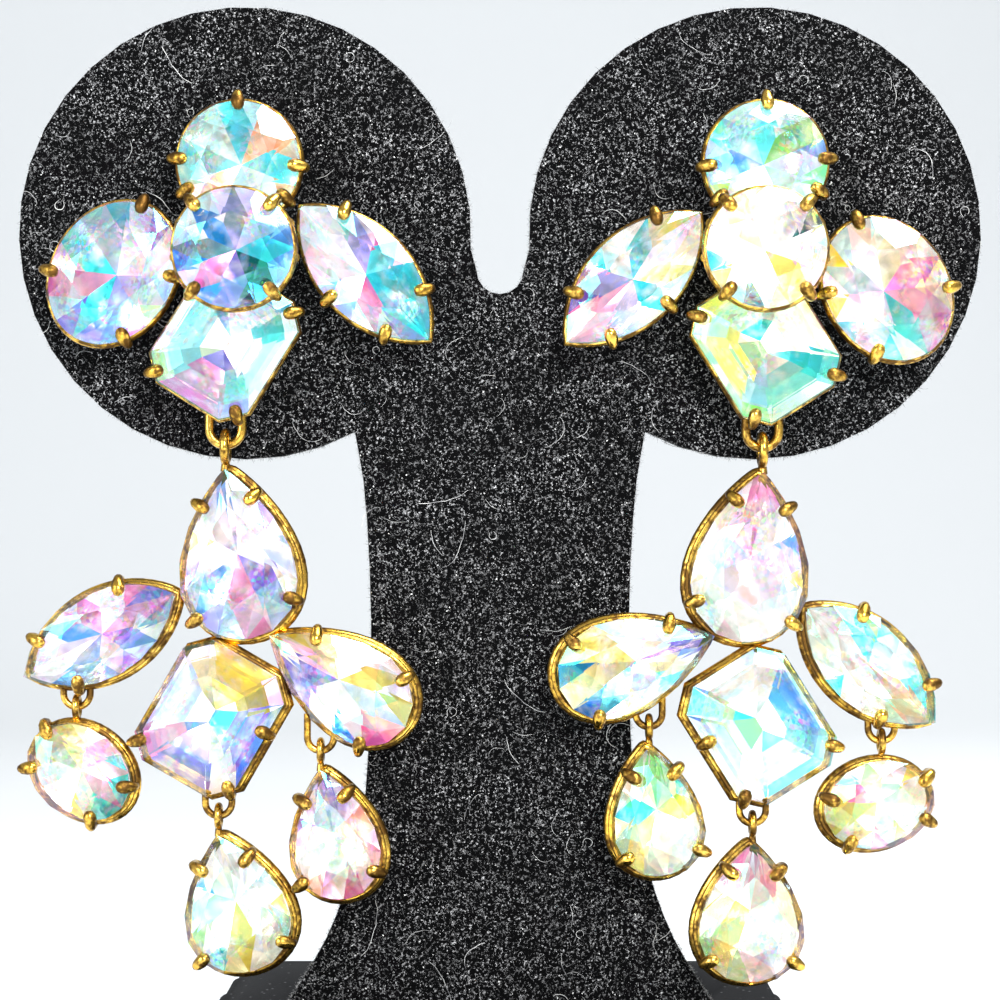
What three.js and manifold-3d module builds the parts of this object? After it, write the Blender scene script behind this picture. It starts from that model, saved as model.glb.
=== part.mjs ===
// Pair of chandelier earrings hanging on a two-lobed display stand.
// Millimetres, +Z up, the front faces -Y. The origin is the middle of the base's underside.

import * as THREE from 'three';
import { mergeVertices } from 'three/addons/utils/BufferGeometryUtils.js';
import Module from 'manifold-3d';

const wasm = await Module();
wasm.setup();

// Stand
const LOBE_RADIUS = 22.6;
const LOBE_SPREAD = 51.0;
const LOBE_HEIGHT = 83.7;
const PANEL_THICKNESS = 3.0;
const NOTCH_WIDTH = 4.7;
const NOTCH_FLOOR = 77.6;
const NECK_WIDTH = 25.7;
const FOOT_WIDTH = 44.0;
const TAB_WIDTH = 38.0;
const TAB_DEPTH = 2.6;
const BASE_WIDTH = 62.0;
const BASE_DEPTH = 60.0;
const BASE_CORNER = 5.0;
const BASE_HEIGHT = 5.4;
const BASE_STEPS = 3;
const BASE_STEP_INSET = 1.4;

// Stones, length by width
const CROWN_ROUND = 12.4;
const CENTRE_ROUND = 12.0;
const TOP_OVAL_LENGTH = 15.2;
const TOP_OVAL_WIDTH = 12.2;
const TOP_MARQUISE_LENGTH = 18.6;
const TOP_MARQUISE_WIDTH = 9.2;
const OCTAGON_LENGTH = 13.8;
const OCTAGON_WIDTH = 11.5;
const OCTAGON_CUT = 2.0;
const DROP_PEAR_LENGTH = 17.1;
const DROP_PEAR_WIDTH = 11.8;
const DROP_MARQUISE_LENGTH = 17.0;
const DROP_MARQUISE_WIDTH = 8.9;
const SIDE_PEAR_LENGTH = 16.2;
const SIDE_PEAR_WIDTH = 9.9;
const OVAL_CHARM_LENGTH = 11.2;
const OVAL_CHARM_WIDTH = 8.8;
const BOTTOM_CHARM_LENGTH = 14.0;
const BOTTOM_CHARM_WIDTH = 10.6;
const PEAR_CHARM_LENGTH = 13.2;
const PEAR_CHARM_WIDTH = 9.2;

// Shares of a stone's width
const CROWN_SHARE = 0.15;
const PAVILION_SHARE = 0.4;
const TABLE_SHARE = 0.56;

// Metal
const GIRDLE = 0.5;
const WIRE = 0.9;
const CLAW = 0.8;
const CLAW_REACH = 0.65;
const POST = 1.3;
const CLUTCH = 5.0;
const CLUTCH_LENGTH = 2.4;
const HUB = 2.6;
const HUB_THICKNESS = 1.2;
const STRUT_BEARINGS = [-8, 25, 155, 188];
const EYE_SEAT = 0.7;
const MAIN_LINK = { wire: 0.9, width: 3.2, drop: 2.3, eye: 2.8 };
const CHARM_LINK = { wire: 0.7, width: 2.6, drop: 2.1, eye: 2.0 };

// Clearances and places
const GAP = 0.3;
const RIM_GAP = 0.45;
const GALLERY_GAP = 0.4;
const CHARM_GAP = 1.5;
const BACK_GAP = 1.0;
const CENTRE_RISE = 4.9;
const HUB_BELOW_LOBE = 2.6;

// Facets
const WIRE_SIDES = 5;
const LINK_SIDES = 10;
const ROUND_SIDES = 10;
const CLAW_SIDES = 4;

const EARRING_HEIGHT = LOBE_HEIGHT - HUB_BELOW_LOBE;
const PANEL_FRONT = -PANEL_THICKNESS / 2;
const WIDEST_STONE = Math.max(CROWN_ROUND, TOP_OVAL_WIDTH, OCTAGON_WIDTH, DROP_PEAR_WIDTH);
const DEEPEST_STONE = PAVILION_SHARE * WIDEST_STONE;
const GIRDLE_Y = PANEL_FRONT - BACK_GAP - DEEPEST_STONE;
const GALLERY_DROP = GIRDLE / 2 + GALLERY_GAP + WIRE / 2;
const GALLERY_Y = GIRDLE_Y + GALLERY_DROP;

const X_AXIS = new THREE.Vector3(1, 0, 0);
const Y_AXIS = new THREE.Vector3(0, 1, 0);
const Z_AXIS = new THREE.Vector3(0, 0, 1);

// Materials
const FINISHES = {
  metal: { color: 0xb08a3c, roughness: 0.32, metalness: 1 },
  glass: { color: 0xdff2f6, roughness: 0.06, metalness: 0.2 },
  flock: { color: 0x101011, roughness: 0.95, metalness: 0 },
  plastic: { color: 0x0b0b0c, roughness: 0.25, metalness: 0 },
};

const radians = THREE.MathUtils.degToRad;

// Solids from rings of points

function signedVolume(points, triangles) {
  let sum = 0;
  for (let i = 0; i < triangles.length; i += 3) {
    const [a, b, c] = [points[triangles[i]], points[triangles[i + 1]], points[triangles[i + 2]]];
    sum += a.dot(b.clone().cross(c));
  }
  return sum / 6;
}

function geometryFrom(points, triangles) {
  if (signedVolume(points, triangles) < 0) {
    triangles.reverse();
  }
  const geometry = new THREE.BufferGeometry();
  const numbers = points.flatMap((p) => [p.x, p.y, p.z]);
  geometry.setAttribute('position', new THREE.Float32BufferAttribute(numbers, 3));
  geometry.setIndex(triangles);
  return geometry;
}

// A skin through rings of equal length. It closes on itself, or is capped, and a cap may be one point.
function loft(rings, closed = false) {
  const points = rings.flat();
  const starts = rings.map((ring, i) => rings.slice(0, i).reduce((sum, r) => sum + r.length, 0));
  const triangles = [];
  const spans = closed ? rings.length : rings.length - 1;
  for (let i = 0; i < spans; i += 1) {
    const next = (i + 1) % rings.length;
    const sides = rings[i].length;
    for (let j = 0; j < sides; j += 1) {
      const k = (j + 1) % sides;
      const [a, b] = [starts[i] + j, starts[i] + k];
      if (rings[next].length === 1) {
        triangles.push(a, b, starts[next]);
      } else {
        triangles.push(a, b, starts[next] + k, a, starts[next] + k, starts[next] + j);
      }
    }
  }
  if (!closed) {
    capRing(triangles, starts[0], rings[0].length, true);
    capRing(triangles, starts.at(-1), rings.at(-1).length, false);
  }
  return geometryFrom(points, triangles);
}

function capRing(triangles, start, sides, reversed) {
  for (let j = 1; j < sides - 1; j += 1) {
    const [b, c] = reversed ? [j + 1, j] : [j, j + 1];
    triangles.push(start, start + b, start + c);
  }
}

// A round wire along a path that lies in one plane
function wire(path, planeNormal, radius, closed = false, sides = WIRE_SIDES) {
  const count = path.length;
  const rings = path.map((point, i) => {
    const before = path[closed ? (i + count - 1) % count : Math.max(i - 1, 0)];
    const after = path[closed ? (i + 1) % count : Math.min(i + 1, count - 1)];
    const arriving = point.clone().sub(before).normalize();
    const leaving = after.clone().sub(point).normalize();
    const tangent = arriving.clone().add(leaving).normalize();
    const side = planeNormal.clone().cross(tangent).normalize();
    const turn = arriving.lengthSq() && leaving.lengthSq() ? arriving.angleTo(leaving) : 0;
    return Array.from({ length: sides }, (_, j) => {
      const angle = (2 * Math.PI * (j + 0.5)) / sides;
      return point.clone()
        .addScaledVector(planeNormal, radius * Math.cos(angle))
        .addScaledVector(side, (radius * Math.sin(angle)) / Math.cos(turn / 2));
    });
  });
  return loft(rings, closed);
}

function disc(radius, thickness, sides) {
  return new THREE.CylinderGeometry(radius, radius, thickness, sides);
}

function manifoldOf(geometry) {
  const bare = geometry.clone();
  bare.deleteAttribute('normal');
  bare.deleteAttribute('uv');
  const merged = mergeVertices(bare, 1e-5);
  return new wasm.Manifold(new wasm.Mesh({
    numProp: 3,
    vertProperties: new Float32Array(merged.attributes.position.array),
    triVerts: new Uint32Array(merged.index.array),
  }));
}

function geometryOf(manifold) {
  const mesh = manifold.getMesh();
  const geometry = new THREE.BufferGeometry();
  geometry.setAttribute('position', new THREE.BufferAttribute(new Float32Array(mesh.vertProperties), 3));
  geometry.setIndex(new THREE.BufferAttribute(new Uint32Array(mesh.triVerts), 1));
  return geometry;
}

function solder(geometries) {
  return geometryOf(geometries.map(manifoldOf).reduce((whole, piece) => whole.add(piece)));
}

// Stone outlines, with the length along x, the width along y and a pear's tip at +x

function ovalOutline(length, width) {
  return Array.from({ length: ROUND_SIDES }, (_, i) => {
    const t = (2 * Math.PI * i) / ROUND_SIDES;
    return new THREE.Vector2((length / 2) * Math.cos(t), (width / 2) * Math.sin(t));
  });
}

function pearOutline(length, width) {
  const bulge = (t) => Math.sin(t) * Math.sin(t / 2) ** 0.8;
  const widest = Math.max(...Array.from({ length: 180 }, (_, i) => bulge(radians(i))));
  return Array.from({ length: ROUND_SIDES }, (_, i) => {
    const t = (2 * Math.PI * i) / ROUND_SIDES;
    return new THREE.Vector2((length / 2) * Math.cos(t), ((width / 2) * bulge(t)) / widest);
  });
}

function marquiseOutline(length, width) {
  const [a, b] = [length / 2, width / 2];
  const radius = (a * a + b * b) / (2 * b);
  const reach = Math.asin(a / radius);
  const steps = ROUND_SIDES / 2;
  const arc = Array.from({ length: steps }, (_, i) => {
    const t = reach - (2 * reach * i) / steps;
    return new THREE.Vector2(radius * Math.sin(t), radius * Math.cos(t) - radius + b);
  });
  return [...arc, ...arc.map((p) => new THREE.Vector2(-p.x, -p.y))];
}

function octagonOutline(length, width) {
  const [a, b, c] = [length / 2, width / 2, OCTAGON_CUT];
  const quarter = [[a, b - c], [a - c, b]];
  return [
    ...quarter,
    ...quarter.toReversed().map(([x, y]) => [-x, y]),
    ...quarter.map(([x, y]) => [-x, -y]),
    ...quarter.toReversed().map(([x, y]) => [x, -y]),
  ].map(([x, y]) => new THREE.Vector2(x, y));
}

const CUTS = { oval: ovalOutline, pear: pearOutline, marquise: marquiseOutline, octagon: octagonOutline };

// Plan geometry: u to the right and v up, seen from the front

function stone(name, cut, length, width, turn, claws) {
  const outline = CUTS[cut](length, width);
  return { name, width, turn, claws, outline, centre: new THREE.Vector2(), rise: 0 };
}

function planOutline(item) {
  const around = new THREE.Vector2();
  return item.outline.map((p) => p.clone().rotateAround(around, radians(item.turn)).add(item.centre));
}

function distanceToEdge(point, a, b) {
  const edge = b.clone().sub(a);
  const share = THREE.MathUtils.clamp(point.clone().sub(a).dot(edge) / edge.lengthSq(), 0, 1);
  return point.distanceTo(a.clone().addScaledVector(edge, share));
}

function distanceToOutline(point, outline) {
  return Math.min(...outline.map((a, i) => distanceToEdge(point, a, outline[(i + 1) % outline.length])));
}

function outlineGap(first, second) {
  const there = first.map((p) => distanceToOutline(p, second));
  const back = second.map((p) => distanceToOutline(p, first));
  return Math.min(...there, ...back);
}

// Where a ray from the outline's own centre meets it, and the way that the rim faces there
function rimAt(outline, angle) {
  const ray = new THREE.Vector2(Math.cos(radians(angle)), Math.sin(radians(angle)));
  for (let i = 0; i < outline.length; i += 1) {
    const [a, b] = [outline[i], outline[(i + 1) % outline.length]];
    const edge = b.clone().sub(a);
    const cross = ray.cross(edge);
    const reach = a.cross(edge) / cross;
    const share = a.cross(ray) / cross;
    if (cross > 0 && reach > 0 && share >= 0 && share < 1) {
      const normal = new THREE.Vector2(edge.y, -edge.x).normalize();
      return { point: ray.clone().multiplyScalar(reach), normal };
    }
  }
  throw new Error(`no rim at ${angle} degrees`);
}

// Moves a stone outwards on its bearing to where it just clears its neighbours and the hub
function seat(item, from, bearing, neighbours, hubRadius) {
  const way = new THREE.Vector2(Math.cos(radians(bearing)), Math.sin(radians(bearing)));
  const clears = (distance) => {
    item.centre = from.clone().addScaledVector(way, distance);
    const rim = planOutline(item);
    const apart = neighbours.every((other) => outlineGap(rim, planOutline(other)) >= RIM_GAP);
    return apart && distanceToOutline(from, rim) >= hubRadius;
  };
  let near = 2 * Math.max(LOBE_RADIUS, item.width);
  while (clears(near - RIM_GAP / 2)) {
    near -= RIM_GAP / 2;
  }
  let inside = near - RIM_GAP / 2;
  for (let i = 0; i < 24; i += 1) {
    const middle = (near + inside) / 2;
    [near, inside] = clears(middle) ? [middle, inside] : [near, middle];
  }
  clears(near);
  return item;
}

// Lowest point of a rim straight above or below a place
function lowestAt(rim, u) {
  const heights = [];
  rim.forEach((a, i) => {
    const b = rim[(i + 1) % rim.length];
    if ((a.x - u) * (b.x - u) <= 0 && a.x !== b.x) {
      heights.push(a.y + ((b.y - a.y) * (u - a.x)) / (b.x - a.x));
    }
  });
  return Math.min(...heights);
}

// From a stone's own frame, table towards the front, to the earring's frame
function stoneMatrix(item) {
  const angle = radians(item.turn);
  const along = new THREE.Vector3(Math.cos(angle), 0, Math.sin(angle));
  const across = new THREE.Vector3(-Math.sin(angle), 0, Math.cos(angle));
  return new THREE.Matrix4()
    .makeBasis(along, across, new THREE.Vector3(0, -1, 0))
    .setPosition(item.centre.x, GIRDLE_Y - item.rise, item.centre.y);
}

// Cut stone: table, crown facets, girdle and pavilion down to the culet
function cutStone(item) {
  const ring = (share, height) => (
    item.outline.map((p) => new THREE.Vector3(p.x * share, p.y * share, height))
  );
  return loft([
    ring(TABLE_SHARE, GIRDLE / 2 + CROWN_SHARE * item.width),
    ring(1, GIRDLE / 2),
    ring(1, -GIRDLE / 2),
    [new THREE.Vector3(0, 0, -PAVILION_SHARE * item.width)],
  ]).applyMatrix4(stoneMatrix(item));
}

// Gallery wire under the girdle, with claws that rise past it and bend over the crown
function settingPieces(item) {
  const gallery = item.outline.map((p) => new THREE.Vector3(p.x, p.y, -GALLERY_DROP));
  const pieces = [wire(gallery, Z_AXIS, WIRE / 2, true)];
  const stand = GAP + CLAW / 2;
  item.claws.forEach((angle) => {
    const { point, normal } = rimAt(item.outline, angle);
    const slope = (CROWN_SHARE * item.width) / ((1 - TABLE_SHARE) * point.dot(normal));
    const crownRise = GIRDLE / 2 + slope * CLAW_REACH + stand * Math.hypot(1, slope);
    const at = (out, height) => new THREE.Vector3(point.x + normal.x * out, point.y + normal.y * out, height);
    const path = [
      at(stand - GAP, -GALLERY_DROP - WIRE / 2),
      at(stand, GIRDLE / 2 + CLAW_REACH),
      at(-CLAW_REACH, crownRise),
    ];
    pieces.push(wire(path, new THREE.Vector3(-normal.y, normal.x, 0), CLAW / 2, false, CLAW_SIDES));
  });
  return pieces.map((piece) => piece.applyMatrix4(stoneMatrix(item)));
}

// Fixed U loop under a rim, in the plane of the gallery; its lowest point is the pivot of what it carries
function uLoop(item, bearing, link) {
  const rim = planOutline(item);
  const middle = rimAt(item.outline, bearing - item.turn).point
    .rotateAround(new THREE.Vector2(), radians(item.turn)).add(item.centre);
  const half = link.width / 2;
  const tops = [-half, half].map((offset) => lowestAt(rim, middle.x + offset));
  const lowest = Math.min(lowestAt(rim, middle.x) - link.drop, ...tops.map((top) => top - half));
  const pivot = new THREE.Vector3(middle.x, GALLERY_Y, lowest);
  const at = (u, v) => new THREE.Vector3(middle.x + u, GALLERY_Y, v);
  const bend = Array.from({ length: 7 }, (_, i) => {
    const angle = Math.PI + (Math.PI * i) / 6;
    return at(half * Math.cos(angle), pivot.z + half + half * Math.sin(angle));
  });
  const [leftTop, rightTop] = tops.map((top) => top + link.wire / 4);
  const path = [at(-half, leftTop), ...bend, at(half, rightTop)];
  return { pivot, geometry: wire(path, Y_AXIS, link.wire / 2) };
}

// Eye of a drop, edge on to the front, that threads a U loop and is soldered to the drop below
function eyeRing(pivot, link) {
  const radius = link.eye / 2;
  const middle = pivot.z - (radius - link.wire - GAP);
  const path = Array.from({ length: LINK_SIDES }, (_, i) => {
    const angle = (2 * Math.PI * (i + 0.5)) / LINK_SIDES;
    return new THREE.Vector3(pivot.x, pivot.y + radius * Math.sin(angle), middle + radius * Math.cos(angle));
  });
  const foot = new THREE.Vector2(pivot.x, middle - radius - EYE_SEAT * WIRE);
  return { foot, geometry: wire(path, X_AXIS, link.wire / 2, true) };
}

// Puts the rim point that faces a bearing at the foot of an eye
function hang(item, bearing, foot) {
  const point = rimAt(item.outline, bearing - item.turn).point
    .rotateAround(new THREE.Vector2(), radians(item.turn));
  item.centre = foot.clone().sub(point);
  return item;
}

// Hangs a charm from its parent, with its loop moved along the rim until the charm clears the others
function hangCharm({ item, parent, loopBearing, hangBearing, step }, others) {
  const clears = () => (
    others.every((other) => outlineGap(planOutline(item), planOutline(other)) >= CHARM_GAP)
  );
  for (let tries = 0; tries < 60; tries += 1) {
    const loop = uLoop(parent, loopBearing + tries * step, CHARM_LINK);
    const eye = eyeRing(loop.pivot, CHARM_LINK);
    hang(item, hangBearing, eye.foot);
    if (clears()) {
      return { loop, eye };
    }
  }
  throw new Error(`no clear place for ${item.name}`);
}

// Hub behind the centre stone, with an arm to each gallery and struts up to the raised one
function hubPieces(centre, satellites) {
  const hubY = GIRDLE_Y - centre.rise + PAVILION_SHARE * centre.width + 2 * GAP + HUB_THICKNESS / 2;
  const hub = new THREE.Vector3(centre.centre.x, hubY, centre.centre.y);
  const pieces = [disc(HUB / 2, HUB_THICKNESS, ROUND_SIDES).translate(hub.x, hub.y, hub.z)];
  satellites.forEach((item) => {
    const rim = planOutline(item);
    const nearest = rim.flatMap((a, i) => [a, a.clone().lerp(rim[(i + 1) % rim.length], 0.5)])
      .reduce((best, p) => (p.distanceTo(centre.centre) < best.distanceTo(centre.centre) ? p : best));
    const end = new THREE.Vector3(nearest.x, GALLERY_Y, nearest.y);
    const normal = end.clone().sub(hub).cross(Y_AXIS).normalize();
    pieces.push(wire([hub, end], normal, WIRE / 2));
  });
  STRUT_BEARINGS.forEach((bearing) => {
    const out = new THREE.Vector3(Math.cos(radians(bearing)), 0, Math.sin(radians(bearing)));
    const radius = centre.width / 2;
    const rimPoint = new THREE.Vector3(hub.x, GALLERY_Y - centre.rise, hub.z).addScaledVector(out, radius);
    const foot = hub.clone().addScaledVector(out, HUB / 2 - WIRE / 2);
    pieces.push(wire([foot, rimPoint], out.clone().cross(Y_AXIS).normalize(), WIRE / 2));
  });
  return { hub, pieces };
}

// One earring in the left-hand layout, with the hub at u = 0, v = 0. The angles are those of its side.
function earring(side) {
  const pick = (left, right) => (side === 'left' ? left : right);
  const nodes = {};

  const centre = stone('centre_round', 'oval', CENTRE_ROUND, CENTRE_ROUND, 0, [48, 132, 228, 312]);
  centre.rise = CENTRE_RISE;
  const crown = stone('crown_round', 'oval', CROWN_ROUND, CROWN_ROUND, 0, [90, 178, -5, 210, -38]);
  const octagon = stone('top_octagon', 'octagon', OCTAGON_LENGTH, OCTAGON_WIDTH, 58, [-138, 145, -36]);
  const oval = stone('top_oval', 'oval', TOP_OVAL_LENGTH, TOP_OVAL_WIDTH, 58, [8, 120, -137, -63]);
  const marquise = stone('top_marquise', 'marquise', TOP_MARQUISE_LENGTH, TOP_MARQUISE_WIDTH, pick(-46, -44),
    [152, 31, -27, -97]);
  const origin = new THREE.Vector2();
  const tuck = CENTRE_ROUND / 2;
  seat(crown, origin, pick(90, 93), [], 0.5 * tuck);
  seat(octagon, origin, pick(-99, -93), [crown], 0.2 * tuck);
  seat(oval, origin, pick(189, 196), [crown, octagon], tuck);
  seat(marquise, origin, pick(-9, -11), [crown, octagon], tuck);
  const satellites = [crown, octagon, oval, marquise];
  const { hub, pieces } = hubPieces(centre, satellites);
  const mainLoop = uLoop(octagon, pick(-90, -88), MAIN_LINK);
  nodes.top_setting = solder([...pieces, ...[centre, ...satellites].flatMap(settingPieces), mainLoop.geometry]);

  const mainEye = eyeRing(mainLoop.pivot, MAIN_LINK);
  const pear = stone('drop_pear', 'pear', DROP_PEAR_LENGTH, DROP_PEAR_WIDTH, 97, [29, -26, -133, 141]);
  const lowOctagon = stone('drop_octagon', 'octagon', OCTAGON_LENGTH, OCTAGON_WIDTH, pick(60, 58),
    [137, -75, -134]);
  const sidePear = stone('side_pear', 'pear', SIDE_PEAR_LENGTH, SIDE_PEAR_WIDTH, pick(146, 161),
    [-34, -142, 142]);
  const lowMarquise = stone('drop_marquise', 'marquise', DROP_MARQUISE_LENGTH, DROP_MARQUISE_WIDTH,
    pick(209, 222), [-140, -26, 41]);
  hang(pear, 97, mainEye.foot);
  seat(lowOctagon, pear.centre, pick(-99, -93), [pear], 0);
  seat(sidePear, lowOctagon.centre, pick(16, 27), [pear, lowOctagon], 0);
  seat(lowMarquise, lowOctagon.centre, pick(143, 151), [pear, lowOctagon], 0);
  const lower = [pear, lowOctagon, sidePear, lowMarquise];

  const ovalCharm = stone('oval_charm', 'oval', OVAL_CHARM_LENGTH, OVAL_CHARM_WIDTH, pick(-40, -17),
    [25, 165, 215, -35]);
  const bottomCharm = stone('bottom_charm', 'pear', BOTTOM_CHARM_LENGTH, BOTTOM_CHARM_WIDTH, pick(103, 91),
    [31, -31, 137, -137]);
  const pearCharm = stone('pear_charm', 'pear', PEAR_CHARM_LENGTH, PEAR_CHARM_WIDTH, pick(100, 83),
    [31, -31, 137, -137]);
  const charms = [
    { item: bottomCharm, parent: lowOctagon, loopBearing: -84, hangBearing: bottomCharm.turn, step: 1 },
    { item: ovalCharm, parent: lowMarquise, loopBearing: pick(266, 272), hangBearing: 94, step: -1 },
    { item: pearCharm, parent: sidePear, loopBearing: pick(249, 254), hangBearing: pearCharm.turn, step: 1 },
  ];
  const dropPieces = [mainEye.geometry, ...lower.flatMap(settingPieces)];
  charms.forEach((charm, i) => {
    const others = [...lower, ...charms.slice(0, i).map(({ item }) => item)];
    const { loop, eye } = hangCharm(charm, others);
    dropPieces.push(loop.geometry);
    nodes[`${charm.item.name}_setting`] = solder([eye.geometry, ...settingPieces(charm.item)]);
  });
  nodes.drop_setting = solder(dropPieces);

  [centre, ...satellites, ...lower, ...charms.map(({ item }) => item)].forEach((item) => {
    nodes[item.name] = cutStone(item);
  });
  nodes.ear_post = earPost(hub);
  return nodes;
}

// Post with a pad behind the hub and a plain round clutch behind the stand's lobe
function earPost(hub) {
  const padFront = hub.y + HUB_THICKNESS / 2 + GAP;
  const clutchFront = PANEL_THICKNESS / 2 + GAP;
  const clutchBack = clutchFront + CLUTCH_LENGTH;
  const profile = [
    [0, padFront],
    [HUB / 2, padFront],
    [HUB / 2, padFront + WIRE],
    [POST / 2, padFront + WIRE],
    [POST / 2, clutchFront],
    [CLUTCH / 2, clutchFront],
    [CLUTCH / 2, clutchBack],
    [0, clutchBack],
  ].map(([radius, depth]) => new THREE.Vector2(radius, depth));
  const geometry = new THREE.LatheGeometry(profile, ROUND_SIDES).translate(hub.x, 0, hub.z);
  return geometryOf(manifoldOf(geometry));
}

// Outline of the stand's upright, from the tab up the right side, over both lobes and down the left
function panelOutline() {
  const lobeX = LOBE_SPREAD / 2;
  const neck = NECK_WIDTH / 2;
  const flare = FOOT_WIDTH / 2 - neck;
  const cornerAngle = radians(-119);
  const onLobe = (angle) => (
    new THREE.Vector2(lobeX + LOBE_RADIUS * Math.cos(angle), LOBE_HEIGHT + LOBE_RADIUS * Math.sin(angle))
  );
  const corner = onLobe(cornerAngle);
  const stem = corner.y - BASE_HEIGHT;
  const shoulder = corner.x - neck;
  // Columns: share of the stem's height, share of the foot's flare, share of the shoulder's flare
  const sections = [
    [0, 1, 0],
    [0.05, 0.8, 0],
    [0.13, 0.5, 0],
    [0.25, 0.22, 0],
    [0.41, 0.05, 0],
    [0.66, 0, 0.02],
    [0.88, 0, 0.35],
    [1, 0, 1],
  ];
  const flank = new THREE.SplineCurve(sections.map(([height, foot, top]) => (
    new THREE.Vector2(neck + flare * foot + shoulder * top, BASE_HEIGHT + stem * height)
  ))).getPoints(18);
  const notch = NOTCH_WIDTH / 2;
  const notchMiddle = NOTCH_FLOOR + notch;
  const drop = LOBE_HEIGHT - notchMiddle;
  const lastAngle = Math.PI + Math.asin(Math.min(0.9, (0.4 * drop) / LOBE_RADIUS));
  const lobe = Array.from({ length: 31 }, (_, i) => (
    onLobe(cornerAngle + ((lastAngle - cornerAngle) * (i + 1)) / 31)
  ));
  const floor = Array.from({ length: 4 }, (_, i) => {
    const angle = (-Math.PI / 2) * (i / 4);
    return new THREE.Vector2(notch * Math.cos(angle), notchMiddle + notch * Math.sin(angle));
  });
  const tab = TAB_WIDTH / 2;
  const tabFoot = BASE_HEIGHT - TAB_DEPTH + GAP;
  const right = [
    new THREE.Vector2(tab, tabFoot),
    new THREE.Vector2(tab, BASE_HEIGHT + GAP),
    new THREE.Vector2(flank[0].x, BASE_HEIGHT + GAP),
    ...flank.slice(1),
    ...lobe,
    ...floor,
  ];
  const left = right.map((p) => new THREE.Vector2(-p.x, p.y)).reverse();
  return [...right, new THREE.Vector2(0, NOTCH_FLOOR), ...left];
}

// Upright plate with a hole for each post
function standPanel(posts) {
  const shape = new THREE.Shape(panelOutline());
  posts.forEach(({ x, z }) => {
    const hole = Array.from({ length: ROUND_SIDES }, (_, i) => {
      const angle = (2 * Math.PI * i) / ROUND_SIDES;
      const radius = POST / 2 + GAP;
      return new THREE.Vector2(x + radius * Math.cos(angle), z + radius * Math.sin(angle));
    });
    shape.holes.push(new THREE.Path(hole));
  });
  const geometry = new THREE.ExtrudeGeometry(shape, { depth: PANEL_THICKNESS, bevelEnabled: false });
  return geometryOf(manifoldOf(geometry.rotateX(Math.PI / 2).translate(0, PANEL_THICKNESS / 2, 0)));
}

function roundedRectangle(width, depth, radius) {
  const shape = new THREE.Shape();
  [[1, -1], [1, 1], [-1, 1], [-1, -1]].forEach(([signX, signY], i) => {
    shape.absarc(signX * (width / 2 - radius), signY * (depth / 2 - radius), radius,
      ((i - 1) * Math.PI) / 2, (i * Math.PI) / 2);
  });
  return shape;
}

// Stepped base with a slot for the upright's tab
function standBase() {
  const tier = BASE_HEIGHT / BASE_STEPS;
  const tiers = Array.from({ length: BASE_STEPS }, (_, i) => {
    const inset = i * BASE_STEP_INSET;
    const shape = roundedRectangle(BASE_WIDTH - 2 * inset, BASE_DEPTH - 2 * inset, BASE_CORNER - inset);
    return new THREE.ExtrudeGeometry(shape, { depth: (i + 1) * tier, bevelEnabled: false, curveSegments: 3 });
  });
  const slot = new THREE.BoxGeometry(TAB_WIDTH + 2 * GAP, PANEL_THICKNESS + 2 * GAP, 2 * TAB_DEPTH)
    .translate(0, 0, BASE_HEIGHT);
  return geometryOf(tiers.map(manifoldOf).reduce((whole, piece) => whole.add(piece)).subtract(manifoldOf(slot)));
}

// Mirrors a solid across the stand's middle and keeps its faces pointing out
function mirrored(geometry) {
  const copy = geometry.clone().scale(-1, 1, 1);
  copy.setIndex(Array.from(copy.index.array).reverse());
  return copy;
}

const STAND_FINISH = { stand_panel: 'flock', stand_base: 'plastic' };

function finishOf(name) {
  return STAND_FINISH[name] ?? (/setting|post/.test(name) ? 'metal' : 'glass');
}

const part = new THREE.Group();

function addNode(name, geometry) {
  const finish = new THREE.MeshStandardMaterial({ name, ...FINISHES[finishOf(name)] });
  const mesh = new THREE.Mesh(geometry, finish);
  mesh.name = name;
  part.add(mesh);
}

const posts = [-1, 1].map((sign) => ({ x: (sign * LOBE_SPREAD) / 2, z: EARRING_HEIGHT }));
addNode('stand_base', standBase());
addNode('stand_panel', standPanel(posts));
['left', 'right'].forEach((side, i) => {
  Object.entries(earring(side)).forEach(([name, geometry]) => {
    const shaped = side === 'left' ? geometry : mirrored(geometry);
    addNode(`${side}_${name}`, shaped.translate(posts[i].x, 0, posts[i].z));
  });
});

export default part;
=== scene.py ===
"""Pair of chandelier earrings with cut iridescent stones, on a two-lobed flocked display stand.

Metres, +Z up, the front faces -Y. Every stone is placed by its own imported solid.
"""

import math
import random

import bmesh
import bpy
from mathutils import Matrix, Vector, noise


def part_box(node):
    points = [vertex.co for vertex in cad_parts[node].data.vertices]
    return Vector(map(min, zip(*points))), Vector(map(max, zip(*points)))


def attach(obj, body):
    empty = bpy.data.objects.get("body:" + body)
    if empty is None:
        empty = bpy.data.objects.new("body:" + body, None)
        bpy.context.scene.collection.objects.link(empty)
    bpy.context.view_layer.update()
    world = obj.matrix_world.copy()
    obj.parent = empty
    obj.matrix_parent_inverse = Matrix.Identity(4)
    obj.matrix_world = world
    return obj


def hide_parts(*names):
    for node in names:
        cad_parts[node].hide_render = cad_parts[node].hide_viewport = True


bl_info = {
    "name": "Chandelier earrings on a stand",
    "version": (1, 0, 0),
    "blender": (4, 5, 0),
    "location": "3D View > Sidebar > Earrings",
    "description": "Builds a pair of chandelier earrings with cut stones on a flocked stand",
    "category": "Object",
}

MM = 0.001
SIDES = ("left", "right")
STAND = "stand"

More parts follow.
